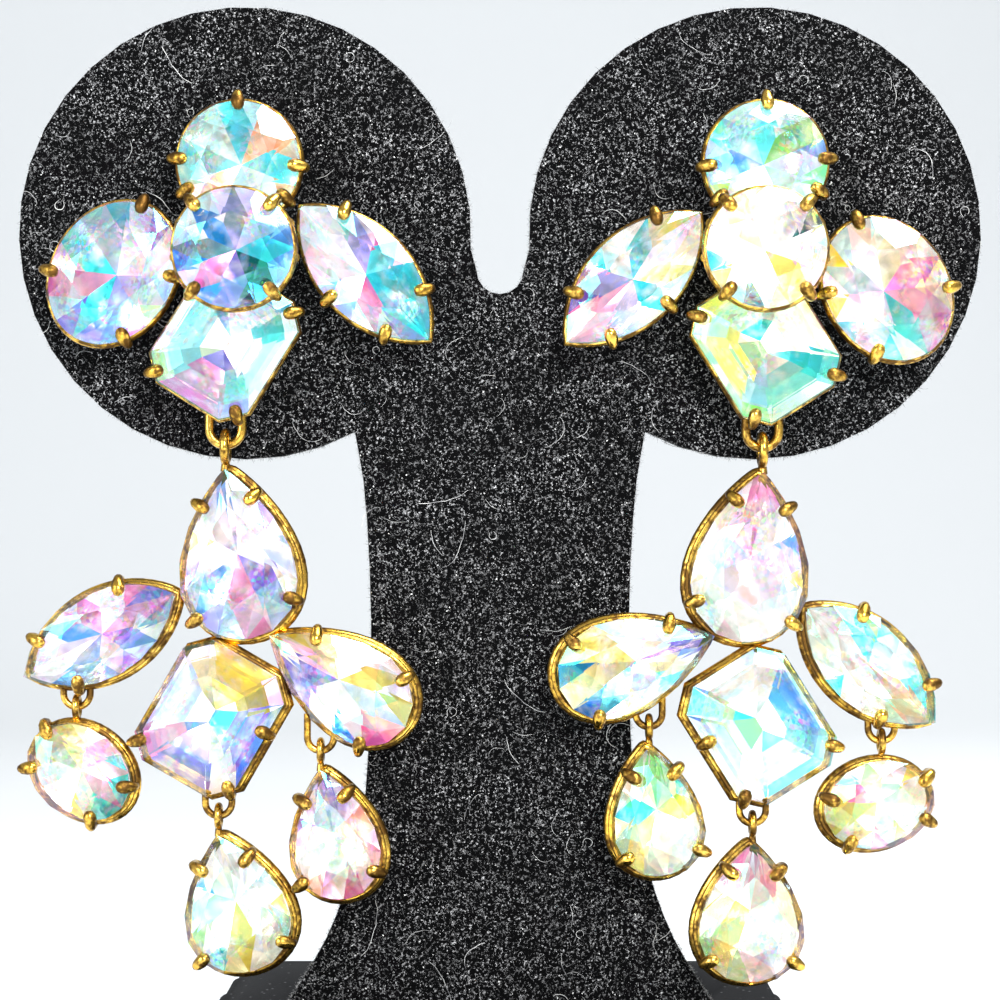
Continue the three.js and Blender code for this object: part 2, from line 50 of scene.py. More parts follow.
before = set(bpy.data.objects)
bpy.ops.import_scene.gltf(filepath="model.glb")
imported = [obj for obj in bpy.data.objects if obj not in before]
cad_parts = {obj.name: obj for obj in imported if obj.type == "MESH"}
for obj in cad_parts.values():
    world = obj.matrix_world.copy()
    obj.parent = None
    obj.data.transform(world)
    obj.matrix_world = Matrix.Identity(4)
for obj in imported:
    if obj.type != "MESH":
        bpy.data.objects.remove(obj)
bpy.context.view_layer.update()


# Stones: cut, length, width, (left, right) turn in degrees and claw angles.
# The right earring is the mirror image of its own layout, so its turns and claws are mirrored.

STONES = {
    "centre_round": ("oval", 12.0, 12.0, (0, 0), (48, 132, 228, 312)),
    "crown_round": ("oval", 12.4, 12.4, (0, 0), (90, 178, -5, 210, -38)),
    "top_octagon": ("octagon", 13.8, 11.5, (58, 58), (-138, 145, -36)),
    "top_oval": ("oval", 15.2, 12.2, (58, 58), (8, 120, -137, -63)),
    "top_marquise": ("marquise", 18.6, 9.2, (-46, -44), (152, 31, -27, -97)),
    "drop_pear": ("pear", 17.1, 11.8, (97, 97), (29, -26, -133, 141)),
    "drop_octagon": ("octagon", 13.8, 11.5, (60, 58), (137, -75, -134)),
    "side_pear": ("pear", 16.2, 9.9, (146, 161), (-34, -142, 142)),
    "drop_marquise": ("marquise", 17.0, 8.9, (209, 222), (-140, -26, 41)),
    "oval_charm": ("oval", 11.2, 8.8, (-40, -17), (25, 165, 215, -35)),
    "bottom_charm": ("pear", 14.0, 10.6, (103, 91), (31, -31, 137, -137)),
    "pear_charm": ("pear", 13.2, 9.2, (100, 83), (31, -31, 137, -137)),
}
TOP_STONES = ("centre_round", "crown_round", "top_octagon", "top_oval", "top_marquise")
DROP_STONES = ("drop_pear", "drop_octagon", "side_pear", "drop_marquise")
CHARMS = ("oval_charm", "bottom_charm", "pear_charm")

# The facets' colour attribute, with painted fire on the foil and a faint tint on the crown, and
# their iridescent colours
FACET_FIRE_AND_TINT = "facet_tint"
COLOURS = {
    "white": (1.0, 1.0, 1.0),
    "cyan": (0.16, 0.78, 0.84),
    "sky": (0.12, 0.42, 0.88),
    "violet": (0.36, 0.24, 0.84),
    "rose": (0.94, 0.34, 0.66),
    "peach": (0.97, 0.55, 0.34),
    "gold": (0.95, 0.86, 0.22),
    "lime": (0.45, 0.86, 0.34),
    "deep": (0.03, 0.14, 0.20),
}
WHITE = COLOURS["white"]

# How deep the foil's colour is on a facet, where 1 is the full colour and 0 is white
FOIL_DEPTHS = (0.35, 0.6, 0.85, 1.0)
FOIL_CONTRAST = 1.7
FOIL_DIMMEST = 0.88

# How a fire fades away from its own side: where it is at full strength, what stays everywhere, pull
FIRE_EDGE = 0.35
FIRE_FLOOR = 0.35
FIRE_PULL = 4.0

# Painted fire of each stone, painted on its facets: a colour, where in the stone it glows in
# degrees seen from the front, share
FIRES = {
    "left_crown_round": "cyan 90 5, cyan 190 2, peach 20 2, white 270 6, gold 150 1",
    "left_centre_round": "white 130 4, sky 330 2, rose 200 2, cyan 10 3, violet 260 2, deep 290 2",
    "left_top_oval": "rose 230 3, violet 260 2, cyan 120 4, white 10 5, gold 330 2, rose 160 1",
    "left_top_marquise": "rose 60 2, violet 320 2, cyan 0 4, white 170 5, lime 110 1",
    "left_top_octagon": "cyan 90 4, white 10 5, rose 220 3, violet 250 1, lime 170 1",
    "left_drop_pear": "white 40 9, sky 200 3, violet 225 2, rose 275 1, gold 330 1",
    "left_drop_octagon": "white 130 5, gold 70 2, sky 350 3, violet 235 3, rose 185 2, white 290 4",
    "left_side_pear": "gold 110 3, white 40 6, violet 210 3, sky 310 3, rose 340 2",
    "left_drop_marquise": "rose 60 4, violet 10 2, sky 240 2, cyan 300 2, white 190 5, gold 150 1",
    "left_oval_charm": "gold 110 3, peach 140 2, rose 60 2, white 230 9, cyan 320 3",
    "left_bottom_charm": "white 90 11, cyan 150 2, gold 300 2, lime 330 1, sky 110 1",
    "left_pear_charm": "white 210 9, violet 110 2, peach 60 2, rose 310 2, gold 335 1, lime 180 1",
    "right_crown_round": "cyan 90 6, lime 20 1, white 260 5, sky 160 2, gold 310 1",
    "right_centre_round": "white 120 7, cyan 230 3, rose 350 2, gold 290 2, deep 260 1",
    "right_top_oval": "white 180 5, gold 150 3, rose 20 3, peach 50 1, cyan 270 4",
    "right_top_marquise": "rose 200 3, violet 230 2, cyan 310 3, gold 40 2, white 100 4",
    "right_top_octagon": "white 60 7, lime 190 2, gold 150 2, cyan 320 4, sky 240 1",
    "right_drop_pear": "white 270 8, sky 10 3, violet 330 2, gold 150 2, rose 80 2",
    "right_drop_octagon": "white 110 14, cyan 320 4, white 250 4, lime 200 1, sky 10 1",
    "right_side_pear": "white 100 7, cyan 290 3, sky 330 3, gold 185 3, violet 10 1",
    "right_drop_marquise": "cyan 60 4, white 190 9, lime 310 2, peach 290 1, cyan 345 2",
    "right_oval_charm": "white 0 10, gold 190 2, cyan 225 2, lime 70 1, rose 150 1",
    "right_bottom_charm": "white 340 11, gold 220 3, lime 200 1, rose 85 2, sky 240 1",
    "right_pear_charm": "white 320 9, gold 235 2, cyan 190 2, rose 120 1, lime 90 1",
}

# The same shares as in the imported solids
CROWN_SHARE = 0.15
PAVILION_SHARE = 0.4
OCTAGON_CUT = 2.0 * MM
CROWN_WIDTH = 0.44
CAD_SIDES = 10

# Sides of a smooth outline, a stone's girdle, and how far each wire sits inside the outline
SMOOTH_SIDES = 40
GIRDLE_HALF = 0.25 * MM
BELOW_GIRDLE = 0.4 * MM
TOP_INSET = 0.30 * MM
DROP_INSET = 0.22 * MM
RAIL_INSET = 0.20 * MM

# The hub behind a cluster: its distance, where its struts start and their bearings
HUB_BEHIND = 1.2 * MM
STRUT_START = 0.85 * MM
STRUT_BEARINGS = (-8, 25, 155, 188)


# Sizes and colours that a user would change


def number(name, description, default, **limits):
    """A number property."""
    return bpy.props.FloatProperty(name=name, description=description, default=default, **limits)


def length(name, description, default_mm):
    """A length property that is stated in millimetres."""
    return number(name, description, default_mm * MM, min=0.0, precision=5,
                  subtype="DISTANCE", unit="LENGTH")


def share(name, description, default):
    """A property from 0 to 1."""
    return number(name, description, default, min=0.0, max=1.0, subtype="FACTOR")


def colour(name, description, default):
    """A linear colour property."""
    return bpy.props.FloatVectorProperty(
        name=name, description=description, default=default, size=3, min=0.0, max=1.0,
        subtype="COLOR",
    )


def count(name, description, default):
    """A whole number property."""
    return bpy.props.IntProperty(name=name, description=description, default=default, min=0)


class StoneSettings(bpy.types.PropertyGroup):
    girdle: length("Girdle", "Height of the band round a stone", 0.5)
    table: share("Table", "Table's share of a stone's width", 0.56)
    star: share("Star", "Share of the width at the tips of the star facets", 0.8)
    sides: count("Girdle points", "Points round a round, oval, pear or marquise stone", 16)
    shrink: length("Clearance", "How far a smooth outline is drawn in to clear its neighbour", 0.12)
    film: number("Film", "Thickness of the iridescent film in nanometres", 430.0)
    foil_roughness: share("Foil roughness", "Roughness of the foil behind the facets", 0.16)
    grain: count("Grain", "Grains of colour in a metre of foil", 2400)
    crown_tint: share("Crown tint", "How strongly the crown facets are tinted", 0.42)


class MetalSettings(bpy.types.PropertyGroup):
    wire: length("Wire", "Diameter of the gallery wire", 0.9)
    drop_wire: length("Drop wire", "Diameter of the gallery wire on the drops", 1.15)
    rail: length("Rail", "Diameter of the thin rail above the gallery", 0.5)
    claw: length("Claw", "Diameter of a claw", 0.95)
    claw_tip: length("Claw tip", "Diameter of a claw's rounded tip", 1.35)
    claw_reach: length("Claw reach", "How far a claw reaches over the crown", 0.85)
    eye_seat: share("Eye seat", "Distance from an eye to its rim, in wire diameters", 0.7)
    gold: colour("Gold", "Polished antique gold", (0.88, 0.52, 0.07))
    # Colour of the dark brown patches that lie at random on the gold: partly tarnish, partly
    # painted shade.
    tarnish_and_shade_colour: colour("Tarnish", "Dark metal in the recesses", (0.13, 0.065, 0.015))
    shift: length("Gallery shift", "How far a drop's gallery sits towards the middle", 0.52)


class StandSettings(bpy.types.PropertyGroup):
    flock_edge: length("Flock edge", "Rounding of the flocked edges", 0.7)
    base_edge: length("Base edge", "Rounding of the base's steps", 0.45)
    flock: colour("Flock", "Black pile", (0.0012, 0.0012, 0.0013))
    dust: colour("Dust", "Grey dust held by the pile", (0.80, 0.80, 0.81))
    fibre: length("Fibre", "Length of a loose pile fibre", 0.6)
    fibres: count("Fibres", "Loose pile fibres that stand up from the flock", 9000)
    speck: length("Speck", "Size of a lint speck", 0.12)
    specks: count("Specks", "Lint specks on the flock", 4200)
    rim_fuzz: count("Rim fuzz", "Pale fibres that stand out round the upright's edge", 9000)
    hair: length("Hair", "Length of a stray hair", 2.6)
    hairs: count("Hairs", "Curved stray hairs on the flock", 300)
    long_hairs: count("Long hairs", "Long looped hairs on the flock", 26)


class StageSettings(bpy.types.PropertyGroup):
    distance: length("Camera distance", "Camera to the middle of the upright", 240.0)
    field: length("Field", "Height of the view at the upright", 100.0)
    aim: length("Aim", "Height of the camera", 57.0)
    floor: colour("Floor", "Pale floor and backdrop", (0.80, 0.82, 0.83))
    key: number("Key light", "Power of the front light", 2.6)
    fill: number("Fill light", "Power of the side light", 1.6)
    top: number("Top light", "Power of the top light", 2.4)


# Outlines, with the length along x, the width along y and a pear's tip at +x


def circle(sides):
    """Points round a circle of radius 1, as (cosine, sine)."""
    steps = (2 * math.pi * i / sides for i in range(sides))
    return [(math.cos(t), math.sin(t)) for t in steps]


def oval_outline(long, wide, sides):
    """Points of an ellipse."""
    return [Vector((long / 2 * c, wide / 2 * s)) for c, s in circle(sides)]


def pear_bulge(t):
    """Half width of a pear at an angle, before it is scaled to its width."""
    return math.sin(t) * abs(math.sin(t / 2)) ** 0.8


def pear_outline(long, wide, sides):
    """Points of a pear with its tip at +x."""
    widest = max(pear_bulge(math.radians(i)) for i in range(180))
    steps = (2 * math.pi * i / sides for i in range(sides))
    return [
        Vector((long / 2 * math.cos(t), wide / 2 * pear_bulge(t) / widest)) for t in steps
    ]


def marquise_outline(long, wide, sides):
    """Points of two equal arcs that meet in two tips."""
    a, b = long / 2, wide / 2
    radius = (a * a + b * b) / (2 * b)
    reach = math.asin(a / radius)
    half = sides // 2
    arc = []
    for i in range(half):
        t = reach - 2 * reach * i / half
        arc.append(Vector((radius * math.sin(t), radius * math.cos(t) - radius + b)))
    return arc + [-p for p in arc]


def octagon_outline(long, wide, sides=8):
    """Points of a rectangle with its corners cut off."""
    a, b, c = long / 2, wide / 2, OCTAGON_CUT
    quarter = [(a, b - c), (a - c, b)]
    half = quarter + [(-x, y) for x, y in reversed(quarter)]
    return [Vector(p) for p in half] + [Vector((-x, -y)) for x, y in half]


OUTLINES = {
    "oval": oval_outline,
    "pear": pear_outline,
    "marquise": marquise_outline,
    "octagon": octagon_outline,
}


def rim_at(outline, degrees):
    """Where a ray from the middle meets an outline, and the way that the rim faces there."""
    angle = math.radians(degrees)
    ray = Vector((math.cos(angle), math.sin(angle)))
    for i, a in enumerate(outline):
        edge = outline[(i + 1) % len(outline)] - a
        cross = ray.cross(edge)
        if cross <= 0:
            continue
        reach = a.cross(edge) / cross
        along = a.cross(ray) / cross
        if reach > 0 and -0.001 <= along < 1:
            return ray * reach, Vector((edge.y, -edge.x)).normalized()
    raise RuntimeError(f"no rim at {degrees} degrees")


class Stone:
    """A stone's outline, colours and place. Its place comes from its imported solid."""

    def __init__(self, side, name):
        cut, long, wide, turns, claws = STONES[name]
        self.name = name
        self.node = f"{side}_{name}"
        self.cut = cut
        self.long = long * MM
        self.wide = wide * MM
        mirrored = side == "right"
        turn = turns[1] if mirrored else turns[0]
        self.turn = math.radians(180 - turn if mirrored else turn)
        self.claws = [-c if mirrored else c for c in claws]
        low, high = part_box(self.node)
        packed = [self.turned(p) for p in self.outline(CAD_SIDES)]
        self.x = (low.x + high.x - min(p.x for p in packed) - max(p.x for p in packed)) / 2
        self.z = (low.z + high.z - min(p.y for p in packed) - max(p.y for p in packed)) / 2
        self.y = high.y - PAVILION_SHARE * self.wide

    def outline(self, sides, inset=0.0):
        """The stone's own outline, drawn in by an inset."""
        return OUTLINES[self.cut](self.long - 2 * inset, self.wide - 2 * inset, sides)

    def turned(self, point):
        """A point of the plan turned into the upright's plane."""
        return Matrix.Rotation(self.turn, 2) @ point

    def rim(self):
        """The smooth outline as it stands in the upright's plane."""
        return [self.turned(p) + Vector((self.x, self.z)) for p in self.outline(SMOOTH_SIDES)]

    def matrix(self):
        """From the stone's frame, table towards +z, to the row frame."""
        along = Vector((math.cos(self.turn), 0, math.sin(self.turn)))
        across = Vector((-math.sin(self.turn), 0, math.cos(self.turn)))
        out = Vector((0, -1, 0))
        rows = Matrix((along, across, out)).transposed().to_4x4()
        return Matrix.Translation((self.x, self.y, self.z)) @ rows


# Shader maths: an expression on sockets adds its nodes


def maths(operation, swapped=False):
    """An operator of a socket that adds one Math node."""
    def apply(self, other):
        first, second = (other, self) if swapped else (self, other)
        return self.shader.add("ShaderNodeMath", {"operation": operation}, {0: first, 1: second})
    return apply


class Socket:
    """A node's output, with operators that add Math nodes."""

    def __init__(self, shader, output):
        self.shader = shader
        self.output = output

    __add__ = maths("ADD")
    __mul__ = maths("MULTIPLY")
    __rsub__ = maths("SUBTRACT", swapped=True)


class Nodes:
    """A node tree that is built node by node."""

    def __init__(self, tree):
        self.tree = tree

    def join(self, socket, value):
        """Links a socket, or sets its value."""
        if isinstance(value, Socket):
            value = value.output
        if isinstance(value, bpy.types.NodeSocket):
            self.tree.links.new(value, socket)
        else:
            socket.default_value = value

    def add(self, kind, settings=None, inputs=None, output=0):
        """Adds a node: its settings first, then the values or links of its sockets."""
        node = self.tree.nodes.new(kind)
        for key, value in (settings or {}).items():
            setattr(node, key, value)
        for key, value in (inputs or {}).items():
            self.join(node.inputs[key], value)
        return node.outputs[output]


class Shader(Nodes):
    """A node material with one Principled BSDF whose constants are set on its own sockets."""

    def __init__(self, name, **constants):
        self.material = bpy.data.materials.new(name)
        self.material.use_nodes = True
        super().__init__(self.material.node_tree)
        self.principled = self.tree.nodes["Principled BSDF"]
        self.feed(**constants)

    def add(self, kind, settings=None, inputs=None, output=0):
        """Adds a node, with its output ready for maths."""
        return Socket(self, super().add(kind, settings, inputs, output))

    def feed(self, **sockets):
        """Sets or feeds inputs of the Principled BSDF."""
        for socket, value in sockets.items():
            self.join(self.principled.inputs[socket.replace("_", " ")], value)

    def facet_tint(self):
        """The colour that each facet carries."""
        return self.add("ShaderNodeAttribute", {"attribute_name": FACET_FIRE_AND_TINT}, output="Color")

    def place(self):
        """Object coordinates."""
        return self.add("ShaderNodeTexCoord", output="Object")

    def noise(self, scale, detail=3.0, roughness=0.55, vector=None):
        """Noise on object coordinates, about 0.5."""
        return self.add("ShaderNodeTexNoise", {}, {
            "Vector": vector or self.place(), "Scale": scale, "Detail": detail,
            "Roughness": roughness,
        }, output="Fac")

    def cells(self, scale, output):
        """Distance to the nearest of scattered points in cells, or that point's own colour."""
        return self.add("ShaderNodeTexVoronoi", {}, {
            "Vector": self.place(), "Scale": scale,
        }, output=output)

    def stretched(self, scales, turn=(0.0, 0.0, 0.0)):
        """Object coordinates stretched and turned."""
        return self.add("ShaderNodeMapping", {}, {
            "Vector": self.place(), "Scale": scales, "Rotation": turn,
        }, output="Vector")

    def ramp(self, factor, *stops):
        """A number or colour from stops of (place, value)."""
        made = self.add("ShaderNodeValToRGB", {}, {"Fac": factor}, output="Color")
        elements = made.output.node.color_ramp.elements
        while len(elements) < len(stops):
            elements.new(1.0)
        for element, (place, value) in zip(elements, stops):
            element.position = place
            element.color = rgba(value if isinstance(value, tuple) else (value,) * 3)
        return made

    def mix(self, factor, first, second):
        """A mix of two colours."""
        return self.add("ShaderNodeMix", {"data_type": "RGBA"}, {
            "Factor": factor, 6: rgba(first), 7: rgba(second),
        }, output=2)

    def bump(self, height, strength, distance):
        """A bumped normal."""
        return self.add("ShaderNodeBump", {}, {
            "Height": height, "Strength": strength, "Distance": distance,
        }, output="Normal")


def rgba(value):
    """A colour with its alpha, or a socket as it is."""
    return value if isinstance(value, Socket) else (*tuple(value)[:3], 1.0)


# Finishes


def cut_glass(settings):
    """Clear crown of a stone with an iridescent film, faintly tinted facet by facet."""
    shader = Shader(
        "cut_glass", IOR=1.55, Transmission_Weight=1.0,
        Thin_Film_Thickness=settings.film, Thin_Film_IOR=2.1,
    )
    wear = shader.ramp(shader.noise(900.0, 2.0), (0.42, 0.012), (0.7, 0.07))
    scratches = shader.noise(700.0, 2.0, vector=shader.stretched((1.0, 1.0, 14.0), (0.0, 0.6, 0.0)))
    shader.feed(
        Base_Color=shader.facet_tint(),
        Roughness=wear,
        Normal=shader.bump(scratches, 0.04, 0.02 * MM),
    )
    return shader.material


def iridescent_foil(settings):
    """Foil behind the pavilion facets, painted facet by facet with the stones' fire, with fine
    grains of colour, and glowing faintly in these colours as painted light.
    """
    # The foil glows faintly in its own colours: painted light that brightens the stones.
    shader = Shader("iridescent_foil", Metallic=0.9, Emission_Strength=0.42)
    drift = shader.noise(420.0, 2.0)
    grains = shader.cells(settings.grain, "Color")
    grained = shader.ramp(shader.noise(260.0, 3.0), (0.46, 0.0), (0.62, 0.45))
    mottled = shader.mix(grained, shader.facet_tint(), grains)
    silvery = shader.mix(shader.ramp(drift, (0.52, 0.0), (0.72, 0.45)), mottled, WHITE)
    shader.feed(
        Base_Color=silvery,
        Emission_Color=silvery,
        Roughness=shader.ramp(shader.noise(1500.0), (0.3, settings.foil_roughness * 0.6),
                              (0.7, settings.foil_roughness * 1.4)),
        Normal=shader.bump(shader.noise(650.0, 2.0), 0.12, 0.05 * MM),
    )
    return shader.material


def antique_gold(settings):
    """Worn antique gold: polished on top, with dark brown patches at random that are partly tarnish
    and partly painted shade, and with casting pits.
    """
    shader = Shader("antique_gold", Metallic=1.0)
    patches = shader.noise(520.0, 3.0, 0.65)
    grime = shader.noise(1900.0, 2.0)
    # Dark brown patches at random: partly tarnish, partly painted shade.
    tarnish_and_shade_mask = shader.ramp(patches * 0.7 + grime * 0.3, (0.44, 1.0), (0.60, 0.0))
    warm = shader.mix(shader.ramp(shader.noise(160.0), (0.35, 0.0), (0.7, 1.0)), settings.gold,
                      (0.90, 0.58, 0.12))
    shader.feed(
        Base_Color=shader.mix(tarnish_and_shade_mask, warm, settings.tarnish_and_shade_colour),
        Roughness=shader.ramp(tarnish_and_shade_mask + grime * 0.25, (0.1, 0.11), (1.0, 0.45)),
        Normal=shader.bump(shader.noise(2600.0, 2.0), 0.25, 0.04 * MM),
    )
    return shader.material


def black_flock(settings):
    """Combed black pile with grey dust and curls of lint in patches."""
    shader = Shader("black_flock", Sheen_Weight=0.015, Sheen_Roughness=0.4, Specular_IOR_Level=0.03)
    pile = shader.noise(5200.0, 2.0, 0.7)
    specks = shader.ramp(shader.noise(3800.0, 3.0, 0.8), (0.59, 0.0), (0.67, 1.0))
    patches = shader.ramp(shader.noise(210.0, 3.0, 0.75), (0.38, 0.35), (0.62, 1.0))
    combed = shader.noise(260.0, 2.0, vector=shader.stretched((3.0, 3.0, 0.7), (0.0, 0.35, 0.0)))
    curls = shader.ramp(shader.noise(1300.0, 2.0, 0.6), (0.47, 0.0), (0.50, 1.0), (0.53, 0.0))
    broken = shader.ramp(shader.noise(2100.0, 2.0), (0.50, 0.0), (0.60, 1.0))
    lint = (specks * 0.85 + curls * broken * 0.42) * patches * 0.85
    dusty = shader.mix(lint, settings.flock, settings.dust)
    shader.feed(
        Base_Color=shader.mix(combed * 0.2, dusty, (0.008, 0.008, 0.009)),
        Roughness=shader.ramp(combed, (0.3, 0.82), (0.7, 1.0)),
        Normal=shader.bump(pile * 0.7 + combed * 0.25, 0.9, 0.2 * MM),
    )
    return shader.material


def gloss_black():
    """Glossy black plastic with fine scratches, dust and a faint moulding ripple."""
    shader = Shader("gloss_black", Coat_Roughness=0.08, Specular_IOR_Level=0.0, Coat_IOR=1.5)
    dust = shader.ramp(shader.cells(900.0, "Distance"), (0.05, 1.0), (0.16, 0.0))
    film = shader.ramp(shader.noise(60.0, 4.0), (0.35, 0.0), (0.75, 1.0))
    scratches = shader.ramp(
        shader.noise(300.0, 4.0, 0.7, shader.stretched((0.4, 9.0, 1.0), (0.0, 0.0, 0.5))),
        (0.60, 0.0), (0.68, 1.0),
    )
    shader.feed(
        Base_Color=shader.mix(dust * 0.45 + film * 0.01, (0.006, 0.006, 0.007), (0.32, 0.32, 0.33)),
        Roughness=shader.ramp(film * 0.5 + scratches * 0.4 + dust, (0.0, 0.07), (1.0, 0.42)),
        Coat_Weight=0.1 - dust * 0.08,
        Normal=shader.bump(shader.noise(45.0, 2.0) + scratches * 0.08, 0.08, 0.3 * MM),
    )
    return shader.material


def pale_lint():
    """Pale lint and fibres with darker strands among them."""
    shader = Shader("pale_lint", Sheen_Weight=0.3)
    strands = shader.noise(700.0, 3.0)
    shader.feed(
        Base_Color=shader.ramp(strands, (0.35, (0.16, 0.16, 0.17)), (0.62, (0.72, 0.72, 0.70))),
        Roughness=shader.ramp(strands, (0.3, 0.7), (0.7, 0.95)),
        Normal=shader.bump(shader.noise(4000.0), 0.3, 0.02 * MM),
    )
    return shader.material


def loose_fibre(name, brightest):
    """Loose pile fibres, the brightest of which catch the light."""
    shader = Shader(name, Sheen_Weight=0.5, Sheen_Roughness=0.3)
    strands = shader.noise(2200.0, 2.0)
    shader.feed(
        Base_Color=shader.ramp(strands, (0.42, (0.006, 0.006, 0.007)), (0.62, (brightest,) * 3)),
        Roughness=shader.ramp(strands, (0.3, 0.75), (0.7, 0.95)),
        Normal=shader.bump(strands, 0.2, 0.02 * MM),
    )
    return shader.material


def pale_floor(settings):
    """Plain pale floor."""
    shader = Shader("pale_floor")
    shader.feed(
        Base_Color=shader.mix(shader.noise(6.0) * 0.1, settings.floor, (0.70, 0.73, 0.75)),
        Roughness=shader.ramp(shader.noise(20.0), (0.3, 0.6), (0.7, 0.75)),
    )
    return shader.material


FINISHES = {}


def finish(name):
    """A finish by name, made once."""
    if name not in FINISHES:
        scene = bpy.context.scene
        makers = {
            "cut_glass": lambda: cut_glass(scene.earring_stones),
            "iridescent_foil": lambda: iridescent_foil(scene.earring_stones),
            "antique_gold": lambda: antique_gold(scene.earring_metal),
            "black_flock": lambda: black_flock(scene.earring_stand),
            "gloss_black": gloss_black,
            "pale_lint": pale_lint,
            "dark_fibre": lambda: loose_fibre("dark_fibre", 0.36),
            "rim_fibre": lambda: loose_fibre("rim_fibre", 0.75),
            "pale_floor": lambda: pale_floor(scene.earring_stage),
        }
        FINISHES[name] = makers[name]()
    return FINISHES[name]


# Meshes


def new_object(name, data, materials=()):
    """Adds an object at the origin with its materials."""
    obj = bpy.data.objects.new(name, data)
    bpy.context.scene.collection.objects.link(obj)
    for material in materials:
        data.materials.append(finish(material))
    return obj


def mesh_from(name, bm, recalculate=True):
    """A mesh from a bmesh, which is freed. Its faces are turned outward unless told otherwise."""
    if recalculate:
        bmesh.ops.recalc_face_normals(bm, faces=bm.faces)
    mesh = bpy.data.meshes.new(name)
    bm.to_mesh(mesh)
    bm.free()
    return mesh


def settle(obj, name, body, slot, *replaced):
    """Turns an object and its modifiers into a plain mesh that rides on a body."""
    bpy.context.view_layer.update()
    depsgraph = bpy.context.evaluated_depsgraph_get()
    mesh = bpy.data.meshes.new_from_object(obj.evaluated_get(depsgraph), depsgraph=depsgraph)
    mesh.name = name
    bpy.data.objects.remove(obj, do_unlink=True)
    piece = new_object(name, mesh)
    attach(piece, body)
    if replaced:
        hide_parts(*replaced)
    return piece


def merged_copy(node, name, material):
    """A CAD node's shape as one welded object with its flat faces joined, in a finish."""
    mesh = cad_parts[node].data.copy()
    mesh.materials.clear()
    bm = bmesh.new()
    bm.from_mesh(mesh)
    bmesh.ops.remove_doubles(bm, verts=bm.verts, dist=0.002 * MM)
    bmesh.ops.dissolve_limit(bm, angle_limit=math.radians(0.5), verts=bm.verts, edges=bm.edges)
    bm.to_mesh(mesh)
    bm.free()
    mesh.name = name
    return new_object(name, mesh, (material,))


def round_edges(obj, width, segments, angle=35.0):
    """Rounds the sharp edges and shades the rest smooth."""
    bevel = obj.modifiers.new("rounding", "BEVEL")
    bevel.width = width
    bevel.segments = segments
    bevel.limit_method = "ANGLE"
    bevel.angle_limit = math.radians(angle)
    for face in obj.data.polygons:
        face.use_smooth = True


# Geometry Nodes trees


class Tree(Nodes):
    """A Geometry Nodes tree with named inputs."""

    def __init__(self, name, **inputs):
        super().__init__(bpy.data.node_groups.new(name, "GeometryNodeTree"))
        face = self.tree.interface
        face.new_socket("Geometry", in_out="INPUT", socket_type="NodeSocketGeometry")
        for key, kind in inputs.items():
            face.new_socket(key, in_out="INPUT", socket_type=kind)
        face.new_socket("Geometry", in_out="OUTPUT", socket_type="NodeSocketGeometry")
        self.start = self.tree.nodes.new("NodeGroupInput")
        self.end = self.tree.nodes.new("NodeGroupOutput")

    def given(self, key):
        """A named input of the tree."""
        return self.start.outputs[key]

    def close(self, geometry):
        """Ends the tree in Realize Instances and Set Material."""
        real = self.add("GeometryNodeRealizeInstances", inputs={"Geometry": geometry})
        painted = self.add("GeometryNodeSetMaterial", inputs={
            "Geometry": real, "Material": self.given("Material"),
        })
        self.join(self.end.inputs["Geometry"], painted)
        return self.tree


def apply_tree(obj, group, **values):
    """Adds a tree to an object and sets its named inputs."""
    modifier = obj.modifiers.new(group.name, "NODES")
    modifier.node_group = group
    inputs = {item.name: item.identifier for item in group.interface.items_tree
              if item.in_out == "INPUT"}
    for key, value in values.items():
        modifier[inputs[key]] = value


def wire_tree():
    """A round wire along each path, as thick as the path's own radius says."""
    if "drawn_wire" in bpy.data.node_groups:
        return bpy.data.node_groups["drawn_wire"]
    tree = Tree("drawn_wire", Sides="NodeSocketInt", Material="NodeSocketMaterial")
    section = tree.add("GeometryNodeCurvePrimitiveCircle", {"mode": "RADIUS"}, {
        "Resolution": tree.given("Sides"), "Radius": 1.0,
    })
    tube = tree.add("GeometryNodeCurveToMesh", {}, {
        "Curve": tree.given("Geometry"), "Profile Curve": section, "Fill Caps": True,
        "Scale": tree.add("GeometryNodeInputRadius"),
    })
    smooth = tree.add("GeometryNodeSetShadeSmooth", {}, {"Geometry": tube, "Shade Smooth": True})
    return tree.close(smooth)


